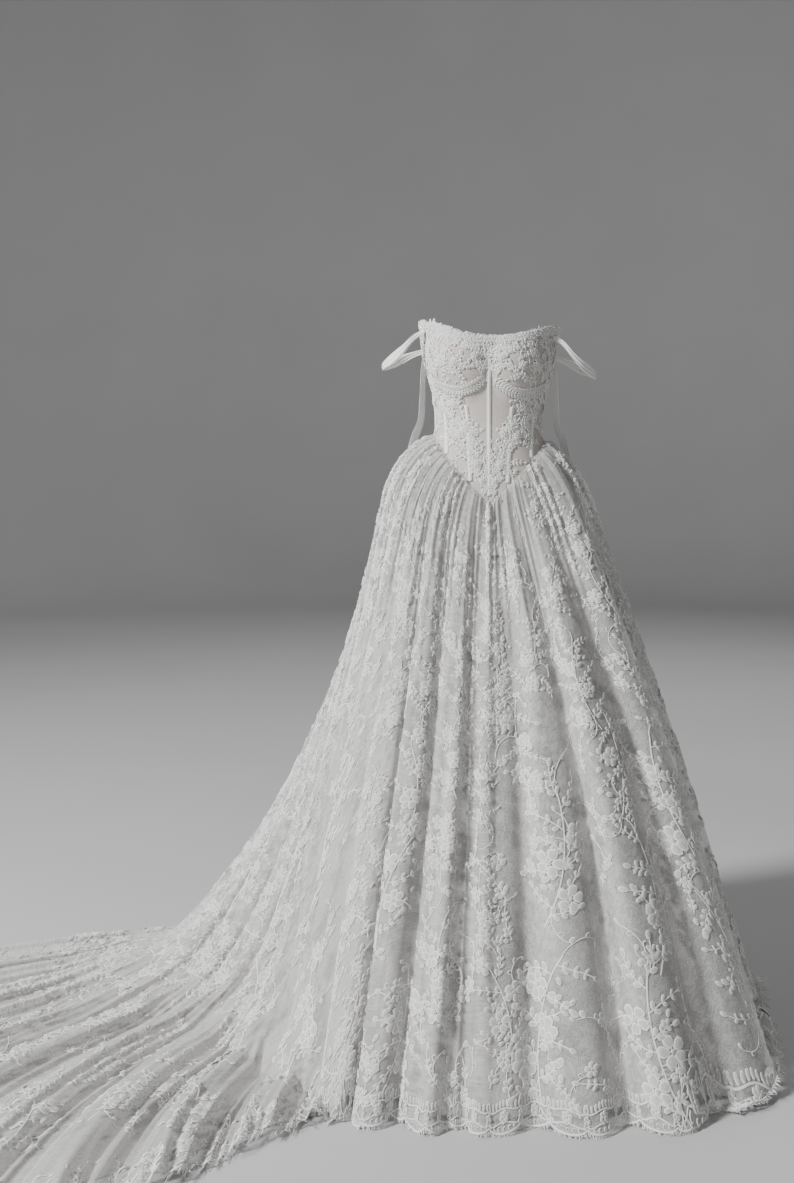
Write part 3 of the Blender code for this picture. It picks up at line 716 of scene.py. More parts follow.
def satin_material():
    """White satin with a soft shine and faint pulls along it."""
    colour = (0.88, 0.875, 0.86)
    made, tree, shader = new_material("white_satin", colour, 0.36, 0.15)
    pulls = texture(tree, "ShaderNodeTexNoise", "UV", (260, 14, 60), Detail=3.0)
    tone = toned(tree, pulls.outputs["Fac"], (0.80, 0.795, 0.78), (0.90, 0.895, 0.885))
    rough = tree.nodes.new("ShaderNodeMapRange")
    rough.inputs["To Min"].default_value = 0.30
    rough.inputs["To Max"].default_value = 0.46
    tree.links.new(pulls.outputs["Fac"], rough.inputs["Value"])
    tree.links.new(rough.outputs["Result"], shader.inputs["Roughness"])
    tree.links.new(tone, shader.inputs["Base Color"])
    bumped(tree, shader, pulls.outputs["Fac"], 0.3, 0.0006)
    return made


def bead_material():
    """Small pearled beads."""
    made, tree, shader = new_material("pearl_beads", (0.9, 0.89, 0.87), 0.18)
    noise = texture(tree, "ShaderNodeTexNoise", "Object", 300, Detail=2.0)
    tone = toned(tree, noise.outputs["Fac"], (0.82, 0.80, 0.78), (0.95, 0.94, 0.93))
    tree.links.new(tone, shader.inputs["Base Color"])
    shader.inputs["Coat Weight"].default_value = 0.6
    shader.inputs["Coat Roughness"].default_value = 0.08
    return made


def floor_material():
    """Pale matt studio floor with a faint unevenness."""
    made, tree, shader = new_material("studio_floor", (0.47, 0.47, 0.47), 0.75)
    noise = texture(tree, "ShaderNodeTexNoise", "Object", 1.2, Detail=3.0)
    tone = toned(tree, noise.outputs["Fac"], (0.46, 0.46, 0.46), (0.48, 0.48, 0.48))
    tree.links.new(tone, shader.inputs["Base Color"])
    return made


# Meshes


def new_object(name, data):
    """An object in the scene that shows a mesh, light or camera."""
    made = bpy.data.objects.new(name, data)
    bpy.context.scene.collection.objects.link(made)
    return made


def piece(name, points, faces, finishes, uv, kinds=None):
    """A visible piece of the dress from points, faces and cloth coordinates in metres."""
    mesh = bpy.data.meshes.new(name)
    mesh.from_pydata(points.tolist(), [], faces)
    for finish in finishes:
        mesh.materials.append(finish)
    if kinds is not None:
        mesh.polygons.foreach_set("material_index", kinds)
    corners = np.empty(len(mesh.loops), int)
    mesh.loops.foreach_get("vertex_index", corners)
    mesh.uv_layers.new(name="cloth").data.foreach_set("uv", uv[corners].ravel())
    mesh.shade_smooth()
    mesh.update()
    made = new_object(name, mesh)
    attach(made, "root")
    return made


def grid_faces(rows, columns, start=0):
    """The quads of a grid, facing out where rows run down and columns run to the wearer's left."""
    first = start + (np.arange(rows - 1)[:, None] * columns + np.arange(columns - 1)).ravel()
    return np.stack([first, first + columns, first + columns + 1, first + 1], -1)


def cloth_flat(layer, phases, ways):
    """Places on the cloth of a layer, as distances round and down it."""
    flat = np.stack([round_length(layer, phases, ways), sampled(layer, "down", phases, ways)], -1)
    return flat.reshape(-1, 2)


def grid_cut(points):
    """Width at the foot square to the length, mean length and area of a grid of cloth laid flat."""
    width = lengths(points, 1)[-1, -1]
    length = lengths(points, 0)[-1].mean()
    across, down = np.diff(points, axis=1)[:-1], np.diff(points, axis=0)[:, :-1]
    area = np.linalg.norm(np.cross(across, down), axis=-1).sum()
    width, length, area = float(width), float(length), float(area)
    width = max(min(width, 2 * area / length), area / length)
    return (round(width, 3), round(length, 3)), round(min(area, width * length), 4)


def closed_wall(name, outer, inner, finish):
    """A closed wall of cloth between two grids."""
    rows, columns = outer.shape[:2]
    below = rows * columns
    front = grid_faces(rows, columns)
    back = grid_faces(rows, columns, below)[:, ::-1]
    rim = list(range(columns)) + [r * columns + columns - 1 for r in range(1, rows)]
    rim += [(rows - 1) * columns + c for c in range(columns - 2, -1, -1)]
    rim += [r * columns for r in range(rows - 2, 0, -1)]
    rim = np.array(rim)
    after = np.roll(rim, -1)
    sides = np.stack([rim, after, after + below, rim + below], -1)
    faces = np.concatenate([front, back, sides]).tolist()
    flat = np.stack([lengths(outer, 1), lengths(outer, 0)], -1).reshape(-1, 2)
    points = np.concatenate([outer.reshape(-1, 3), inner.reshape(-1, 3)])
    return piece(name, points, faces, [finish], np.concatenate([flat, flat]))


# Lace patterns


def curve(place, turn, length, bend, count):
    """A line of points that sets off from a place and bends evenly as it goes."""
    heading = turn + bend * np.linspace(0, 1, count)
    steps = np.stack([np.cos(heading), np.sin(heading)], -1) * length / (count - 1)
    return np.asarray(place) + np.concatenate([[(0, 0)], np.cumsum(steps[:-1], 0)]), heading


# Sides of a petal, which has a raised middle, and of a small leaf, which is flat inside its cord
PETAL_SIDES = 8
LEAF_SIDES = 6


class Pattern:
    """A flat piece of lace being drawn: points as x, y and height, corded faces and filled faces."""

    def __init__(self):
        self.points, self.cords, self.fills, self.count = [], [], [], 0

    def add(self, points, cords, fills):
        """Adds points with the faces on them."""
        self.points.append(points)
        self.cords.append(np.asarray(cords, int).reshape(-1, 4) + self.count)
        self.fills.append(np.asarray(fills, int).reshape(-1, 3) + self.count)
        self.count += len(points)

    def leaf(self, place, length, width, turn, lift=0.0, blunt=0.0, hollow=False, sides=PETAL_SIDES):
        """A leaf or petal that starts at a place, with a corded edge round a filled or open middle."""
        t = np.arange(sides) * 2 * math.pi / sides
        x = (1 - np.cos(t)) / 2
        y = np.sin(t) / 2 * (0.75 + 0.5 * blunt * (x - 0.5) * 2)
        rings = []
        for share, height in ((1.0, 0.0002), (0.70, 0.0011)):
            rings.append(np.stack([0.5 + (x - 0.5) * share, y * share, np.full(sides, height)], -1))
        i = np.arange(sides)
        j = (i + 1) % sides
        cords = np.stack([j, i, i + sides, j + sides], -1)
        if hollow:
            fills = []
        elif sides < PETAL_SIDES:
            fills = np.stack([j + sides, i + sides, np.full(sides, sides)], -1)[1:-1]
        else:
            rings.append(np.array([[0.5, 0.0, 0.0006]]))
            fills = np.stack([j + sides, i + sides, np.full(sides, 2 * sides)], -1)
        local = np.concatenate(rings) * (length, width / 0.75, 1)
        cos, sin = math.cos(turn), math.sin(turn)
        points = np.stack(
            [
                place[0] + local[:, 0] * cos - local[:, 1] * sin,
                place[1] + local[:, 0] * sin + local[:, 1] * cos,
                local[:, 2] + lift,
            ],
            -1,
        )
        self.add(points, cords, fills)

    def cord(self, line, width, lift=0.0):
        """A raised cord along a line."""
        run = unit(np.gradient(line, axis=0))
        side = np.stack([-run[:, 1], run[:, 0]], -1) * width / 2
        n = len(line)
        level = np.full((n, 1), lift)
        points = np.concatenate(
            [
                np.hstack([line + side, level + 0.0002]),
                np.hstack([line, level + 0.0013]),
                np.hstack([line - side, level + 0.0002]),
            ]
        )
        i = np.arange(n - 1)
        cords = [np.stack([i + k, i + n + k, i + n + 1 + k, i + 1 + k], -1) for k in (0, n)]
        self.add(points, np.concatenate(cords), [])

    def flower(self, place, radius, petals, turn, lift=0.0):
        """An open flower with a small raised heart."""
        for k in range(petals):
            a = turn + 2 * math.pi * k / petals
            start = (place[0] + 0.14 * radius * math.cos(a), place[1] + 0.14 * radius * math.sin(a))
            self.leaf(start, 0.88 * radius, 0.74 * radius, a, lift + 0.0003 * (k % 2), 0.55)
        heart = (place[0] - 0.16 * radius, place[1])
        self.leaf(heart, 0.32 * radius, 0.32 * radius, 0.0, lift + 0.0011, 0.0, sides=LEAF_SIDES)

    def spray(self, rng, place, turn, length, leaf, pairs=3):
        """A curved stem with leaves on both sides and one at its tip."""
        line, heading = curve(place, turn, length, rng.uniform(-1.1, 1.1), 8)
        self.cord(line, 0.0022, rng.uniform(0, 0.0004))
        for k in range(pairs):
            i = int(round(1 + k * 5.5 / pairs))
            for side in (-1, 1):
                size = leaf * rng.uniform(0.75, 1.1) * (1 - 0.08 * k)
                a = heading[i] + side * rng.uniform(0.6, 1.0)
                self.leaf(line[i], size, size * 0.62, a, rng.uniform(0, 0.0008), 0.1, sides=LEAF_SIDES)
        self.leaf(line[-1], leaf, leaf * 0.6, heading[-1], rng.uniform(0, 0.0006), 0.1)

    def tendril(self, rng, place, turn, length):
        """A thin curl with open loops along it, as a vine has."""
        line, heading = curve(place, turn, length, rng.choice([-1, 1]) * rng.uniform(1.4, 2.4), 10)
        self.cord(line, 0.0018)
        for i in (3, 6, 9):
            a = heading[i] + rng.choice([-1, 1]) * rng.uniform(0.4, 0.9)
            self.leaf(line[i], 0.0125, 0.0085, a, 0.0002, 0.2, hollow=i != 9, sides=LEAF_SIDES)

    def done(self):
        """The pattern's points, corded quads and filled triangles."""
        return np.concatenate(self.points), np.concatenate(self.cords), np.concatenate(self.fills)


def bouquet(rng, width, height):
    """A loose cluster of flowers and leaves that climbs along a stem."""
    drawn = Pattern()
    line, _ = curve((0, -height / 2), math.pi / 2 + 0.4, height, -0.8, 14)
    drawn.cord(line, 0.0026)
    for share, side in ((0.30, -1), (0.52, 1), (0.74, -1)):
        i = int(share * 13)
        middle = line[i] + (side * width * rng.uniform(0.08, 0.2), rng.uniform(-0.012, 0.012))
        drawn.flower(middle, rng.uniform(0.019, 0.026), 5 + int(rng.integers(2)), rng.uniform(0, 6), 0.0008)
    for k in range(10):
        i = 1 + int(round(k * 1.2))
        side = 1 if k % 2 else -1
        turn = math.pi / 2 - side * rng.uniform(0.5, 1.5)
        drawn.spray(rng, line[i], turn, width * rng.uniform(0.30, 0.52), rng.uniform(0.013, 0.018))
    for k in range(9):
        place = rng.normal(0, 1, 2) * (width * 0.20, height * 0.22)
        size = rng.uniform(0.012, 0.018)
        turn, lift = rng.uniform(0, 6.28), rng.uniform(0.0003, 0.0010)
        drawn.leaf(place, size, size * 0.66, turn, lift, 0.2, sides=LEAF_SIDES)
    drawn.tendril(rng, line[-1], math.pi / 2 + rng.uniform(-0.3, 0.3), 0.075)
    drawn.tendril(rng, line[2], -math.pi / 2 + rng.uniform(-0.8, 0.8), 0.065)
    return drawn.done()


def sprig(rng, length):
    """A single stem with leaves, a small flower and a curl."""
    drawn = Pattern()
    drawn.spray(rng, (0, -length / 2), math.pi / 2 + rng.uniform(-0.2, 0.2), length * 0.7, 0.015, 4)
    drawn.tendril(rng, (0, 0), math.pi / 2 + rng.uniform(-1, 1), length * 0.6)
    if rng.random() < 0.6:
        drawn.flower((rng.uniform(-0.01, 0.01), length * 0.1), 0.014, 5, rng.uniform(0, 6), 0.0008)
    return drawn.done()


def border_unit(width):
    """One scallop of the hem's border, with y as the distance up from its edge."""
    drawn = Pattern()
    x = np.linspace(-width / 2, width / 2, 13)
    drawn.cord(np.stack([x, np.full(13, 0.0018)], -1), 0.0034, 0.0003)
    arch = 0.013 + 0.006 * np.cos(2 * math.pi * x / width)
    drawn.cord(np.stack([x, arch], -1), 0.0024, 0.0002)
    drawn.cord(np.stack([x, arch + 0.021], -1), 0.0026, 0.0002)
    for k in range(7):
        place = (-width / 2 + width * (k + 0.5) / 7, 0.0045)
        drawn.leaf(place, 0.0085, 0.0080, math.pi / 2, 0.0003, 0.0, hollow=True)
    drawn.flower((0.0, 0.0270), 0.0115, 6, 0.3, 0.0006)
    drawn.flower((width / 2, 0.0185), 0.0090, 5, 0.0, 0.0006)
    for k in range(9):
        at = -width / 2 + width * (k + 0.5) / 9
        rise = 0.036 + 0.006 * math.cos(2 * math.pi * at / width)
        drawn.leaf((at, rise), 0.013, 0.0080, math.pi / 2 + 0.25 * math.sin(9 * at / width), 0.0002, 0.1)
    return drawn.done()


def turned_about(points, turn, scale, mirror):
    """Pattern points turned, scaled and mirrored about their middle."""
    x, y = points[:, 0] * scale * mirror, points[:, 1] * scale
    cos, sin = math.cos(turn), math.sin(turn)
    return x * cos - y * sin, x * sin + y * cos


def lay_on_skirt(layer, pattern, phase, way, turn=0.0, scale=1.0, mirror=1, squeeze=1.0, lift=0.0006):
    """A pattern laid along the cloth of the skirt round a place, measured on the cloth."""
    points = pattern[0]
    x, y = turned_about(points, turn, scale, mirror)
    x = x * squeeze
    rows = np.linspace(0, 1, len(layer["down"]))
    column = sampled(layer, "down", np.full(len(rows), phase), rows)
    ways = np.interp(np.interp(way, rows, column) - y, column, rows)
    start = round_length(layer, np.full(len(x), phase), ways)
    phases = phase + x / np.maximum(sampled(layer, "round_speed", phase, ways), LEAST_SPEED)
    for _ in range(3):
        error = round_length(layer, phases, ways) - start - x
        phases = phases - error / np.maximum(sampled(layer, "round_speed", phases, ways), LEAST_SPEED)
    return place_points(layer, phases, ways, points[:, 2] + lift)


def place_points(layer, phases, ways, heights):
    """Points a height out of the cloth and never under the floor."""
    normals = unit(sampled(layer, "normals", phases, ways))
    placed = sampled(layer, "points", phases, ways) + normals * heights[:, None]
    placed[:, 2] = np.maximum(placed[:, 2], FLOOR + THREAD_LIFT)
    return placed


class Gathered:
    """Patterns collected into one piece."""

    def __init__(self):
        self.points, self.uv, self.cords, self.fills, self.count = [], [], [], [], 0

    def take(self, placed, pattern, mirror=1):
        """Adds a pattern at placed points; a mirrored one has its faces turned to the front again."""
        points, cords, fills = pattern
        if mirror < 0:
            cords, fills = cords[:, ::-1], fills[:, ::-1]
        self.points.append(placed)
        self.uv.append(points[:, :2])
        self.cords.append(cords + self.count)
        self.fills.append(fills + self.count)
        self.count += len(points)

    def made(self, name, finishes):
        """The whole as a piece, with one finish for the cords and one for the fills."""
        cords, fills = np.concatenate(self.cords), np.concatenate(self.fills)
        kinds = np.concatenate([np.zeros(len(cords), int), np.ones(len(fills), int)])
        faces = cords.tolist() + fills.tolist()
        return piece(name, np.concatenate(self.points), faces, finishes, np.concatenate(self.uv), kinds)


# The skirt


def dress_skirt(cloth):
    """The net gores with their lace, border and fringe, and the underskirt under them."""
    lace = skirt_layer(lace_surface, lace_ripples, **LACE_SAMPLES)
    plain = skirt_layer(lining_surface, lining_ripples, **LINING_SAMPLES)
    for name, (start, end) in GORES.items():
        under = build_lining(f"under{name}", plain, start, end, cloth)
        build_gore(name, lace, start, end, cloth)


def build_lining(name, layer, start, end, cloth):
    """One plain panel of the underskirt."""
    phases = np.linspace(start, end, int((end - start) * LINING_SAMPLES["columns"]) + 1)
    last = around(fold_angle(phases), LINING_END, "end")
    ways = np.linspace(0, 1, LINING_ROWS)[:, None] * last
    grid = np.broadcast_to(phases, ways.shape)
    points = sampled(layer, "points", grid, ways)
    faces = grid_faces(*ways.shape).tolist()
    flat = cloth_flat(layer, grid, ways)
    made = piece(f"{name}_cloth", points.reshape(-1, 3), faces, [cloth["lining"]], flat)
    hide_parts(name)
    size, area = grid_cut(points)
    return made


def build_gore(name, layer, start, end, cloth):
    """One gore of net with everything that is sewn on it."""
    per_fold = TRAIN_COLUMNS if name.endswith("back_right") else NET_COLUMNS
    phases = np.linspace(start, end, int((end - start) * per_fold) + 1)
    ways = (np.linspace(0, 1, NET_ROWS) ** NET_CROWDING)[:, None] * hem_way(phases)
    grid = np.broadcast_to(phases, ways.shape)
    points = sampled(layer, "points", grid, ways)
    faces = grid_faces(*ways.shape).tolist()
    flat = cloth_flat(layer, grid, ways)
    made = piece(f"{name}_net", points.reshape(-1, 3), faces, [cloth["net"]], flat)
    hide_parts(name)
    sewn_on = [
        skirt_motifs(name, layer, start, end, cloth),
        hem_border(name, layer, start, end, cloth),
        hem_fringe(name, layer, start, end, cloth),
    ]
    size, area = grid_cut(points)


def down_cloth(layer, phase):
    """Ways down the cloth at a fold phase, with their distances from the waist seam."""
    ways = np.linspace(0, 1, 120)
    return ways, sampled(layer, "down", np.full(120, phase), ways)


def skirt_motifs(name, layer, start, end, cloth):
    """Clusters of lace in columns down the gore, with sprigs scattered between them."""
    rng = np.random.default_rng(int(start * 10))
    whole = Gathered()
    for fold in np.arange(math.ceil(start), math.ceil(end)):
        middle = fold + rng.uniform(-0.2, 0.2)
        ways, column = down_cloth(layer, middle)
        place = 0.07 + 0.10 * (int(fold) % 2)
        while place < column[-1] - 0.12:
            way = float(np.interp(place, column, ways))
            pitch = float(sampled(layer, "round_speed", middle, way))
            scale = float(np.clip(pitch / 0.19, 0.62, 1.05)) * rng.uniform(0.9, 1.12)
            squeeze = float(np.clip(pitch / 0.10, 0.45, 1.0))
            mirror = int(rng.choice([-1, 1]))
            pattern = BOUQUETS[int(rng.integers(len(BOUQUETS)))]
            turn = rng.uniform(-0.35, 0.35) + (math.pi if rng.random() < 0.3 else 0)
            phase = middle + rng.uniform(-0.12, 0.12)
            placed = lay_on_skirt(layer, pattern, phase, way, turn, scale, mirror, squeeze)
            whole.take(placed, pattern, mirror)
            place += rng.uniform(*CLUSTER_STEP) * max(scale, 0.8) * (TRAIN_STEP if place > TRAIN_START else 1)
    for column_phase in np.arange(start + 0.25, end, 0.5):
        ways, column = down_cloth(layer, column_phase)
        place = 0.08 + rng.uniform(0, 0.08)
        while place < column[-1] - 0.08:
            way = float(np.interp(place, column, ways))
            pitch = float(sampled(layer, "round_speed", column_phase, way))
            if rng.random() < (SPRIG_SHARE if place < TRAIN_START else TRAIN_SPRIG_SHARE):
                pattern = SPRIGS[int(rng.integers(len(SPRIGS)))]
                mirror = int(rng.choice([-1, 1]))
                squeeze = float(np.clip(pitch / 0.10, 0.4, 1.0))
                phase = column_phase + rng.uniform(-0.15, 0.15)
                turn, scale = rng.uniform(-0.7, 0.7), rng.uniform(0.7, 1.15)
                placed = lay_on_skirt(layer, pattern, phase, way, turn, scale, mirror, squeeze, 0.0004)
                whole.take(placed, pattern, mirror)
            place += rng.uniform(*SPRIG_STEP)
    return whole.made(f"{name}_lace", cloth["lace"])


def hem_border(name, layer, start, end, cloth):
    """The scalloped border along the hem."""
    whole = Gathered()
    pattern = border_unit(BORDER_WIDTH)
    x, y = pattern[0][:, 0], pattern[0][:, 1]
    units = range(round(start * SCALLOPS), round(end * SCALLOPS))
    for unit in units:
        phases = (unit + 0.5 + x / BORDER_WIDTH) / SCALLOPS
        ends = hem_way(phases)
        ways = ends - y / sampled(layer, "down_speed", phases, ends)
        placed = place_points(layer, phases, ways, pattern[0][:, 2] + 0.0005)
        whole.take(placed, pattern)
    rng = np.random.default_rng(int(start * 10) + 3)
    for unit in units:
        phase = (unit + rng.uniform(0.2, 0.8)) / SCALLOPS
        rise = rng.uniform(0.070, 0.105)
        way = float(hem_way(phase) - rise / sampled(layer, "down_speed", phase, 0.97))
        mirror = int(rng.choice([-1, 1]))
        pattern = SPRIGS[int(rng.integers(len(SPRIGS)))]
        placed = lay_on_skirt(layer, pattern, phase, way, rng.uniform(-0.9, 0.9), 0.95, mirror)
        whole.take(placed, pattern, mirror)
    return whole.made(f"{name}_border", cloth["lace"])


def hem_fringe(name, layer, start, end, cloth):
    """The eyelash fringe of loose threads past the hem."""
    rng = np.random.default_rng(int(start * 10) + 5)
    hem = float(round_length(layer, end, 1.0) - round_length(layer, start, 1.0))
    count = int(hem / FRINGE_STEP)
    phases = np.linspace(start, end, count) + rng.uniform(-0.3, 0.3, count) * (end - start) / count
    ways = hem_way(phases)
    root = sampled(layer, "points", phases, ways)
    above = sampled(layer, "points", phases, ways - 0.01)
    beside = sampled(layer, "points", phases + 0.01, ways)
    along, across = unit(root - above), unit(beside - root)
    lies = sampled(layer, "floor", phases, np.full(count, 0.98))
    reach = rng.uniform(0.014, 0.034, count) * (0.45 + 0.55 * lies)
    lean = rng.uniform(-0.55, 0.55, count)
    middle = root + (along + across * lean[:, None] * 0.6) * (reach * 0.55)[:, None]
    tip = root + (along + across * lean[:, None] * 1.3) * reach[:, None]
    half = across * 0.0007
    points = np.stack([root - half, root + half, middle - half * 0.8, middle + half * 0.8, tip], 1)
    points[:, 2:, 2] += rng.uniform(0.0, 0.004, count)[:, None]
    points[..., 2] = np.maximum(points[..., 2], FLOOR + THREAD_LIFT)
    first = np.arange(count) * 5
    quads = np.stack([first, first + 2, first + 3, first + 1], -1)
    tips = np.stack([first + 2, first + 4, first + 3], -1)
    faces = quads.tolist() + tips.tolist()
    flat = np.tile([(0, 0), (0.001, 0), (0, 0.01), (0.001, 0.01), (0, 0.02)], (count, 1))
    return piece(f"{name}_fringe", points.reshape(-1, 3), faces, [cloth["cord"]], flat)


# The corset


def face_of_corset(angles, heights, away):
    """Points a distance from the corset's outer face."""
    points, normals = body_grid(np.asarray(angles, float), np.asarray(heights, float))
    return points + normals * np.asarray(away)[..., None]


def lay_on_corset(pattern, angle, height, turn=0.0, scale=1.0, mirror=1, lift=0.0006):
    """A pattern laid on the corset round an angle and height."""
    points = pattern[0]
    x, y = turned_about(points, turn, scale, mirror)
    heights = height + y
    radius = np.linalg.norm(body_point(np.full(len(x), angle), heights)[:, :2], axis=1)
    angles = angle + np.degrees(x / radius)
    return face_of_corset(angles, heights, points[:, 2] + lift)


def puckers(angles, heights):
    """The grooves beside the seams and the faint pulls across the net, into the corset."""
    columns = angles.shape[1]
    side = np.minimum(np.arange(columns), np.arange(columns)[::-1]) / columns
    pull = 0.5 + 0.5 * np.sin(heights * 420 + 0.05 * angles)
    return -0.0006 * np.exp(-side * 18) - 0.0003 * pull * np.exp(-side * 6)


def corset_panel(name, angles, heights, side, cloth):
    """One panel of the corset: skin-toned net with a soft face and a clean inside."""
    signed = angles * side
    outer = face_of_corset(signed, heights, puckers(angles, heights))
    inner = face_of_corset(signed, heights, np.full(angles.shape, -BODICE_WALL))
    if side < 0:
        outer, inner = outer[:, ::-1], inner[:, ::-1]
    made = closed_wall(f"{name}_net", outer[::-1], inner[::-1], cloth["mesh"])
    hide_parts(name)
    size, area = grid_cut(outer)


def side_name(side):
    """The wearer's side for a sign."""
    return "left" if side > 0 else "right"


def panel_heights(angles, shares):
    """Heights between the waist seam and the cup seam."""
    low, high = seam_height(angles), edge_height(UNDERBUST, angles)
    return low + (high - low) * shares


def dress_corset(cloth):
    """The corset's panels with their casings, bands, lace and beads."""
    casings = build_casings(cloth)
    bands = build_bands(cloth)
    for side in (-1, 1):
        word = side_name(side)
        lace = corset_lace(side, cloth)
        beads = neckline_beads(side, cloth)
        shares = np.linspace(0, 1, 44)[:, None]
        inner = smooth(shares, INNER_SEAM["share"], INNER_SEAM["angle"])
        outer = smooth(shares, OUTER_SEAM["share"], OUTER_SEAM["angle"])
        zero, seam = np.zeros_like(shares), np.full_like(shares, SIDE_SEAM)
        across = np.linspace(0, 1, 20)[None, :]
        panels = {
            "front_panel": (zero, inner, [casings["casing_inner_" + word]]),
            "side_front_panel": (inner, outer, [casings["casing_outer_" + word]]),
            "side_panel": (outer, seam, [casings["casing_side_" + word]]),
        }
        if side > 0:
            panels["front_panel"][2].append(casings["casing_centre"])
        for name, (start, end, sewn_on) in panels.items():
            angles = start + (end - start) * across
            corset_panel(f"{name}_{word}", angles, panel_heights(angles, shares), side, cloth)
        cup = np.linspace(0, SIDE_SEAM, 64)[None, :] * np.ones((40, 1))
        low, high = edge_height(UNDERBUST, cup), edge_height(NECKLINE, cup)
        heights = low + (high - low) * np.linspace(0, 1, 40)[:, None]
        sewn_on = [lace, beads, bands["lace_underbust_" + word]]
        if side > 0:
            sewn_on.append(bands["lace_neckline"])
        corset_panel(f"cup_{word}", cup, heights, side, cloth)
        back = np.linspace(SIDE_SEAM, 180, 40)[None, :] * np.ones((48, 1))
        low, high = seam_height(back), edge_height(NECKLINE, back)
        heights = low + (high - low) * np.linspace(0, 1, 48)[:, None]
        sewn_on = [casings["placket_back"]] if side > 0 else []
        corset_panel(f"back_panel_{word}", back, heights, side, cloth)


def raised_strip(name, centre, heights, width, cloth, side, crown):
    """A satin strip on the corset with flat sewn edges and a rounded middle."""
    across = np.linspace(-1, 1, 13)[None, :]
    radius = np.linalg.norm(body_point(centre, heights)[..., :2], axis=-1)
    half = np.degrees(width / 2 / radius)
    angles = centre[:, None] * side + half[:, None] * across
    levels = np.broadcast_to(heights[:, None], angles.shape)
    rise = 0.0008 + crown * np.clip(1 - (across / 0.72) ** 2, 0, 1) ** 0.7
    away = np.broadcast_to(rise, angles.shape)
    outer = face_of_corset(angles, levels, away)
    inner = face_of_corset(angles, levels, np.full(angles.shape, 0.0002))
    made = closed_wall(f"{name}_satin", outer[::-1], inner[::-1], cloth["satin"])
    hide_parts(name)
    stitches = strip_stitches(name, centre, heights, half, side, cloth)
    stitches.parent = made
    return made


def strip_stitches(name, centre, heights, half, side, cloth):
    """Two rows of small stitches along a strip's edges."""
    run = np.concatenate([[0], np.cumsum(np.abs(np.diff(heights)))])
    places = np.arange(0.003, run[-1] - 0.003, 0.0034)
    whole = Gathered()
    drawn = Pattern()
    drawn.cord(np.array([(0, -0.0011), (0, 0), (0, 0.0011)]), 0.0007, -0.0004)
    pattern = drawn.done()
    for edge in (-0.86, 0.86):
        for place in places:
            level = float(np.interp(place, run, heights))
            middle = float(np.interp(place, run, centre)) * side + edge * float(np.interp(place, run, half))
            whole.take(lay_on_corset(pattern, middle, level, lift=0.0009), pattern)
    return whole.made(f"{name}_stitches", cloth["lace"])


# The bones' channels beside the seams: name, seam and width
CASINGS = (("inner", INNER_SEAM, 0.0085), ("outer", OUTER_SEAM, 0.0075))
CENTRE_WIDTH = 0.0090
SIDE_WIDTH = 0.0085
PLACKET_WIDTH = 0.020
CENTRE_CROWN = 0.0015
CASING_CROWN = 0.0014
PLACKET_CROWN = 0.0006


def build_casings(cloth):
    """The channels over the bones and the placket at the back."""
    made = {}
    heights = np.linspace(WAIST_POINT + 0.016, 0.146, 60)
    made["casing_centre"] = raised_strip(
        "casing_centre", np.zeros(60), heights, CENTRE_WIDTH, cloth, 1, CENTRE_CROWN
    )
    for side in (-1, 1):
        word = side_name(side)
        for part, seam, width in CASINGS:
            name = f"casing_{part}_{word}"
            shares = np.linspace(0.075, 0.86, 48)
            centre = smooth(shares, seam["share"], seam["angle"])
            levels = panel_heights(centre, shares)
            made[name] = raised_strip(name, centre, levels, width, cloth, side, CASING_CROWN)
        centre = np.full(44, SIDE_SEAM)
        low, high = seam_height(centre), edge_height(NECKLINE, centre)
        levels = low + (high - low) * np.linspace(0.09, 0.80, 44)
        name = f"casing_side_{word}"
        made[name] = raised_strip(name, centre, levels, SIDE_WIDTH, cloth, side, CASING_CROWN)
    back = np.array([180.0])
    low, high = seam_height(back)[0], edge_height(NECKLINE, back)[0]
    levels = np.linspace(low + 0.014, high - 0.004, 48)
    centre = np.full(48, 180.0)
    made["placket_back"] = raised_strip(
        "placket_back", centre, levels, PLACKET_WIDTH, cloth, 1, PLACKET_CROWN
    )
    return made


def lace_band(name, angles, top, low, side, cloth, pattern_pieces):
    """A thin band of close lace with a shaped edge."""
    levels = low + (top - low) * np.linspace(1, 0, 8)[:, None]
    signed = np.broadcast_to(angles * side, levels.shape)
    if side < 0:
        signed, levels = signed[:, ::-1], levels[:, ::-1]
    lifted = 0.0010 + 0.0003 * np.sin(signed * 2.1) * np.sin(levels * 900)
    outer = face_of_corset(signed, levels, lifted)
    inner = face_of_corset(signed, levels, np.full(signed.shape, 0.0004))
    made = closed_wall(f"{name}_band", outer, inner, cloth["net"])
    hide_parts(name)
    florets = pattern_pieces.made(f"{name}_florets", cloth["lace"])
    florets.parent = made
    return made


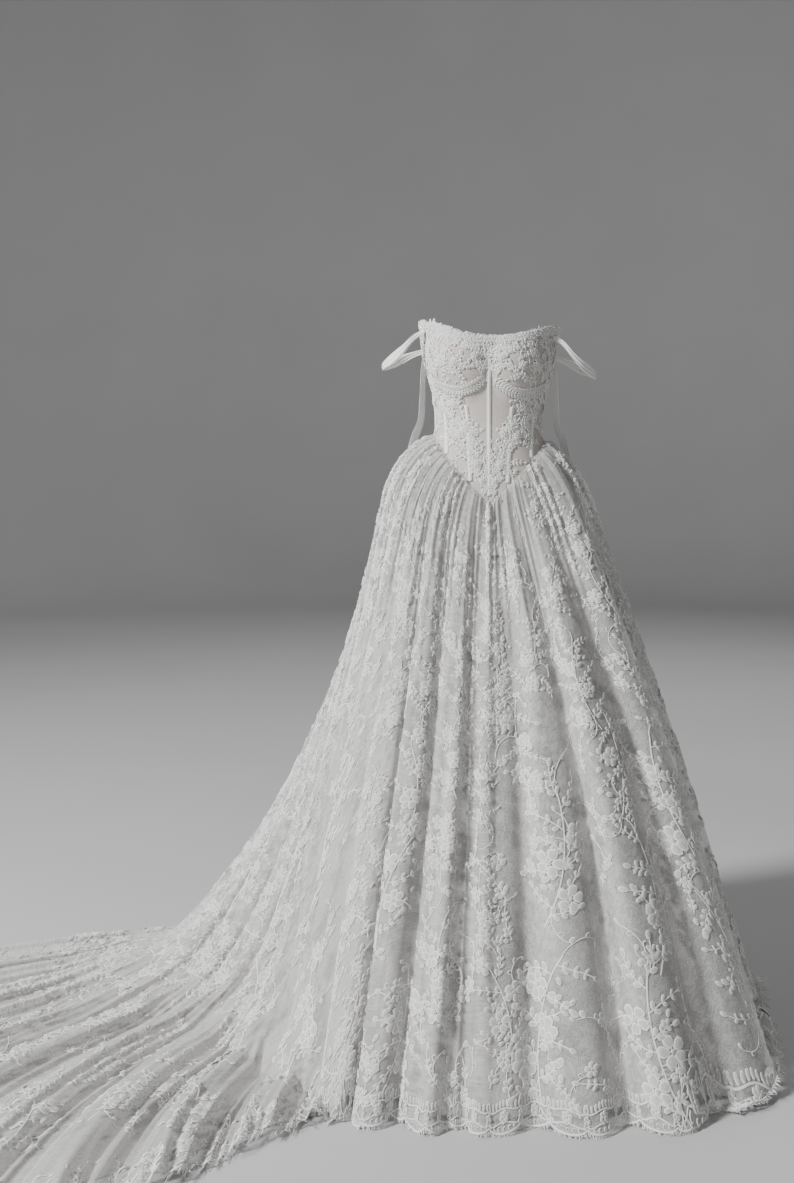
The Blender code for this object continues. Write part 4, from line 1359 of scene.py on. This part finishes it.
def build_bands(cloth):
    """The scalloped bands along the neckline and under the cups, with raised flowers and leaves."""
    made = {}
    rng = np.random.default_rng(31)
    angles = np.linspace(-84, 84, 260)
    wave_up = np.abs(np.sin(np.radians(angles * 180 / 84 * 6.5)))
    top = edge_height(NECKLINE, angles) + 0.0010 + 0.0040 * wave_up
    low = edge_height(NECKLINE, angles) - 0.024 - 0.0090 * np.abs(np.sin(np.radians(angles * 180 / 84 * 5.5)))
    florets = Gathered()
    for angle in np.arange(-82, 82.5, 3.4):
        edge = edge_at(NECKLINE, angle)
        drawn = Pattern()
        drawn.flower((0, 0), rng.uniform(0.0065, 0.0090), 5 + int(rng.integers(2)), rng.uniform(0, 6), 0.0014)
        drawn.spray(rng, (0, -0.002), -math.pi / 2 + rng.uniform(-1.2, 1.2), 0.017, 0.0085, 2)
        drawn.leaf((0.002, 0.0), 0.0095, 0.0060, rng.uniform(0.2, 2.9), 0.0008, 0.2)
        pattern = drawn.done()
        height = edge - 0.0050 + rng.uniform(-0.003, 0.0015)
        florets.take(lay_on_corset(pattern, angle, height, lift=0.0010), pattern)
    made["lace_neckline"] = lace_band("lace_neckline", angles, top, low, 1, cloth, florets)
    for side in (-1, 1):
        angles = np.linspace(6.0, 74.0, 110)
        waves = np.abs(np.sin(np.radians((angles - 6) / 68 * 180 * 6)))
        top = edge_height(UNDERBUST, angles) + 0.013 + 0.002 * waves
        low = edge_height(UNDERBUST, angles) - 0.005 - 0.005 * waves
        florets = Gathered()
        for angle in np.arange(7, 74, 3.3):
            edge = edge_at(UNDERBUST, angle)
            slope = edge_at(UNDERBUST, angle + 2) - edge
            lie = math.atan2(slope, math.radians(2) * 0.12) * side
            drawn = Pattern()
            drawn.leaf((0, 0.001), 0.0135, 0.0058, math.pi / 2 + lie - 0.6 * side, 0.0008, 0.1)
            drawn.leaf((0, -0.001), 0.0115, 0.0054, -math.pi / 2 + lie + 0.7 * side, 0.0006, 0.1)
            drawn.cord(np.array([(-0.0036, 0), (0, 0.0004), (0.0036, 0)]), 0.0022, 0.0010)
            pattern = drawn.done()
            florets.take(lay_on_corset(pattern, angle * side, edge + 0.003, lift=0.0010), pattern)
        name = f"lace_underbust_{side_name(side)}"
        made[name] = lace_band(name, angles, top, low, side, cloth, florets)
    return made


# Where lace lies on the wearer's left of the corset: angle, height, size in metres, and how it turns
CORSET_SPRAYS = (
    (9, 0.150, 0.050, 0.2), (17, 0.128, 0.055, 0.9), (29, 0.108, 0.050, 1.3), (44, 0.112, 0.060, 0.6),
    (52, 0.140, 0.065, 0.1), (61, 0.118, 0.060, -0.3), (70, 0.150, 0.070, 0.3), (72, 0.110, 0.060, -0.2),
    (84, 0.165, 0.065, 0.2), (86, 0.115, 0.065, -0.4), (41, 0.160, 0.050, 0.8), (60, 0.175, 0.060, 0.4),
    (7, 0.118, 0.035, 0.1), (20, 0.160, 0.036, 1.1),
    (42, 0.052, 0.055, -0.3), (53, 0.045, 0.060, 0.3), (66, 0.050, 0.065, 0.0),
    (79, 0.060, 0.065, 0.3), (88, 0.030, 0.065, -0.2), (70, 0.010, 0.060, 0.3), (49, 0.010, 0.050, 0.2),
    (80, -0.010, 0.055, 0.2),
    (34, -0.010, 0.045, 0.2), (36, -0.030, 0.060, -0.3), (24, -0.045, 0.045, 0.4), (48, -0.030, 0.055, 0.5),
    (14, -0.070, 0.050, 0.3), (28, -0.075, 0.050, -0.4), (58, -0.025, 0.045, 0.9), (7, -0.105, 0.045, 0.2),
    (18, -0.100, 0.040, -0.5), (6, -0.135, 0.035, 0.1),
)
BACK_SPRAYS = 26
CORSET_FLOWERS = (
    (31, -0.008, 0.0145), (22, -0.018, 0.0120), (38, -0.022, 0.0110), (62, 0.030, 0.0120),
    (76, 0.085, 0.0130), (48, 0.128, 0.0130), (66, 0.138, 0.0135), (80, 0.140, 0.0125),
    (14, 0.140, 0.0095), (46, 0.040, 0.0110), (60, 0.105, 0.0110), (16, -0.085, 0.0100),
    (8, -0.120, 0.0085), (84, 0.045, 0.0120), (33, 0.125, 0.0100),
)


def corset_lace(side, cloth):
    """Sprays and flowers of lace over one half of the corset."""
    rng = np.random.default_rng(50 + side)
    whole = Gathered()
    for angle, height, size, turn in CORSET_SPRAYS:
        drawn = Pattern()
        drawn.spray(rng, (0, -size / 2), math.pi / 2, size, 0.0105, 4)
        drawn.spray(rng, (0, -size / 6), math.pi / 2 + rng.uniform(0.6, 1.2), size * 0.5, 0.0090, 3)
        drawn.spray(rng, (0, 0), math.pi / 2 - rng.uniform(0.6, 1.2), size * 0.5, 0.0090, 3)
        drawn.tendril(rng, (0, size * 0.1), rng.uniform(0.5, 2.6), size * 0.7)
        pattern = drawn.done()
        at = (angle + rng.uniform(-1.5, 1.5)) * side
        placed = lay_on_corset(pattern, at, height + rng.uniform(-0.003, 0.003), turn * side, 1.0, side)
        whole.take(placed, pattern, side)
    for angle, height, radius in CORSET_FLOWERS:
        drawn = Pattern()
        drawn.flower((0, 0), radius, 6, rng.uniform(0, 6), 0.0010)
        drawn.flower((0, 0), radius * 0.6, 5, rng.uniform(0, 6), 0.0020)
        pattern = drawn.done()
        whole.take(lay_on_corset(pattern, angle * side, height, 0.0, 1.0, side), pattern, side)
    for _ in range(BACK_SPRAYS):
        angle = rng.uniform(100, 172)
        height = rng.uniform(-0.02, 0.15)
        drawn = Pattern()
        drawn.spray(rng, (0, -0.02), math.pi / 2, 0.05, 0.0105, 4)
        drawn.tendril(rng, (0, 0), rng.uniform(0.5, 2.6), 0.035)
        pattern = drawn.done()
        limit = edge_at(NECKLINE, angle) - 0.035
        placed = lay_on_corset(pattern, angle * side, min(height, limit), rng.uniform(-0.6, 0.6), 1.0, side)
        whole.take(placed, pattern, side)
    made = whole.made(f"corset_lace_{side_name(side)}", cloth["lace"])
    return made


def neckline_beads(side, cloth):
    """Small beads sewn among the flowers of the neckline."""
    rng = np.random.default_rng(70 + side)
    ball = bmesh.new()
    bmesh.ops.create_icosphere(ball, subdivisions=2, radius=1.0)
    shape = np.array([v.co[:] for v in ball.verts])
    faces = np.array([[v.index for v in f.verts] for f in ball.faces])
    ball.free()
    points, cells, flat = [], [], []
    for angle in np.arange(0.6, 84, 0.75):
        radius = rng.uniform(0.0009, 0.0014)
        edge = edge_at(NECKLINE, angle)
        height = edge - rng.uniform(-0.002, 0.016)
        centre = face_of_corset(np.array([angle * side]), np.array([height]), np.array([0.0022 + radius]))
        cells.append(faces + len(points) * len(shape))
        points.append(centre + shape * radius)
        flat.append(shape[:, :2] * radius)
    points, cells, flat = np.concatenate(points), np.concatenate(cells).tolist(), np.concatenate(flat)
    made = piece(f"neckline_beads_{side_name(side)}", points, cells, [cloth["bead"]], flat)
    return made


# The straps and ribbons


def pleated_band(name, centre, facing, widths, thickness, pleats, cloth):
    """A soft band of satin along a line, with pleats that run its length."""
    run = unit(np.gradient(centre, axis=0))
    face = unit(facing - run * (facing * run).sum(1, keepdims=True))
    across = np.cross(face, run)
    spread = np.linspace(-0.5, 0.5, 17)
    place = np.linspace(0, 1, len(centre))[:, None]
    crown = 0.55 * thickness * (1 - (2 * spread[None, :]) ** 4)
    fold = pleats * np.cos(2 * math.pi * (2.6 * spread[None, :] + 0.35 * np.sin(9 * place)))
    middle = centre[:, None] + across[:, None] * (spread[None, :] * widths[:, None])[..., None]
    outer = middle + face[:, None] * (crown + fold)[..., None]
    inner = middle + face[:, None] * (fold - 0.5 * thickness)[..., None]
    made = closed_wall(f"{name}_satin", outer, inner, cloth["satin"])
    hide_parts(name)
    size, area = grid_cut(outer)


def dress_straps(cloth):
    """The straps round the arms and the ribbons behind them."""
    count = 110
    for side in (-1, 1):
        half = STRAP_WALL / 2 + SEWN_GAP
        front, front_normals = sewn(STRAP_FRONT, side, TRIM_GAP + TRIM_WALL + half)
        back, back_normals = sewn(STRAP_BACK, side, half)
        middle = free_line(STRAP, side)
        outwards = unit((middle - (ARM_AXIS[0] * side, ARM_AXIS[1], 0)) * (1, 1, 0))
        centre = resampled(np.concatenate([front, middle, back]), count)
        facing = resampled(np.concatenate([front_normals, outwards, back_normals]), count)
        widths = smooth(np.linspace(0, 1, count), STRAP_WIDTH["place"], STRAP_WIDTH["width"])
        pleats = 0.0011 * np.interp(np.linspace(0, 1, count), (0, 0.1, 0.9, 1), (0, 1, 1, 0))[:, None]
        pleated_band(f"strap_{side_name(side)}", centre, facing, widths, 0.0018, pleats, cloth)
        top, top_normals = sewn(RIBBON_TOP, side, RIBBON_WALL / 2 + SEWN_GAP)
        hang = free_line(RIBBON, side)
        free = unit(hang * (0.3, 1.0, 0.0))
        ways = np.array(RIBBON_WAYS)
        angles = np.full(len(ways), RIBBON_ANGLES[side])
        normals = outward(lace_surface, angles, ways)
        lie = lace_surface(angles, ways) + normals * RIBBON_CLEAR
        centre = resampled(np.concatenate([top, hang, lie]), count)
        facing = resampled(np.concatenate([top_normals, free, normals]), count)
        pleats = np.full((count, 1), 0.0005)
        widths = np.linspace(*RIBBON_WIDTHS, count)
        pleated_band(f"ribbon_{side_name(side)}", centre, facing, widths, RIBBON_WALL, pleats, cloth)


# The studio


STUDIO_SIDES = 96


def build_studio():
    """A round pale studio: a floor that curves up into a wall far behind the dress on every side."""
    turn = np.linspace(0, math.pi / 2, 12)[1:]
    across = np.concatenate([[0.0, 2.0, 4.0, 6.0, 8.0], 8.0 + 3.0 * np.sin(turn), [11.0]])
    height = np.concatenate([np.zeros(5), 3.0 * (1 - np.cos(turn)), [9.0]]) + FLOOR - 0.0005
    around_it = np.linspace(0, 2 * math.pi, STUDIO_SIDES + 1)[:-1]
    grid = np.stack(
        [
            across[:, None] * np.cos(around_it),
            across[:, None] * np.sin(around_it),
            np.broadcast_to(height[:, None], (len(across), STUDIO_SIDES)),
        ],
        -1,
    )
    faces = []
    for start in range(0, STUDIO_SIDES * (len(across) - 1), STUDIO_SIDES):
        for c in range(STUDIO_SIDES):
            d = (c + 1) % STUDIO_SIDES
            below = start + STUDIO_SIDES
            faces.append([start + c, below + c, below + d, start + d])
    mesh = bpy.data.meshes.new("studio")
    mesh.from_pydata(grid.reshape(-1, 3).tolist(), [], faces)
    mesh.materials.append(floor_material())
    mesh.shade_smooth()
    made = new_object("studio", mesh)


def area_light(name, place, aim, size, power):
    """A round soft light."""
    light = bpy.data.lights.new(name, "AREA")
    light.shape = "DISK"
    light.size = size
    light.energy = power
    made = new_object(name, light)
    made.location = place
    made.rotation_euler = (Vector(aim) - Vector(place)).to_track_quat("-Z", "Y").to_euler()


def build_lights():
    """A soft key light from the upper left, with a weak fill and a soft light from behind."""
    area_light("key", (-4.6, -2.9, 2.9), (-0.2, -0.1, -0.4), 1.1, 830)
    area_light("fill", (3.6, -4.2, 1.0), (0.0, 0.0, -0.5), 3.0, 22)
    area_light("back", (1.5, 4.5, 3.2), (-0.3, 0.2, -0.3), 2.5, 90)
    world = bpy.data.worlds.new("studio_air")
    world.use_nodes = True
    world.node_tree.nodes["Background"].inputs["Color"].default_value = (1, 1, 1, 1)
    world.node_tree.nodes["Background"].inputs["Strength"].default_value = 0.11
    bpy.context.scene.world = world


# The photograph's size and the point in it straight ahead of the camera, in pixels from its top left
PHOTO_SIZE = (794, 1183)
STRAIGHT_AHEAD = (489, 461)
CAMERA_PLACE = (0.0, -3.0, -0.077)
CAMERA_LENS = 42.45


def build_camera():
    """The photograph's view: level, in front of the dress at its waist, 3 m away."""
    camera = bpy.data.cameras.new("camera")
    camera.lens = CAMERA_LENS
    camera.sensor_width = 36
    camera.shift_x = -(STRAIGHT_AHEAD[0] - PHOTO_SIZE[0] / 2) / PHOTO_SIZE[1]
    camera.shift_y = -(PHOTO_SIZE[1] / 2 - STRAIGHT_AHEAD[1]) / PHOTO_SIZE[1]
    made = new_object("camera", camera)
    made.location = CAMERA_PLACE
    made.rotation_euler = (math.pi / 2, 0, 0)
    bpy.context.scene.camera = made


library = np.random.default_rng(4)
BOUQUETS = [bouquet(library, 0.13, 0.24) for _ in range(7)]
SPRIGS = [sprig(library, 0.11) for _ in range(6)]

finishes = {
    "net": net_material("skirt_net", (0.46, 0.455, 0.445), (0.90, 0.895, 0.885), 0.42),
    "cord": thread_material("lace_cord", (0.93, 0.925, 0.91), 0.6, (500, 500, 500)),
    "fill": thread_material("lace_fill", (0.64, 0.635, 0.62), 0.75, (700, 300, 500)),
    "lining": lining_material(),
    "mesh": corset_material(),
    "satin": satin_material(),
    "bead": bead_material(),
}
finishes["lace"] = [finishes["cord"], finishes["fill"]]
build_studio()
build_lights()
build_camera()
dress_skirt(finishes)
dress_corset(finishes)
dress_straps(finishes)
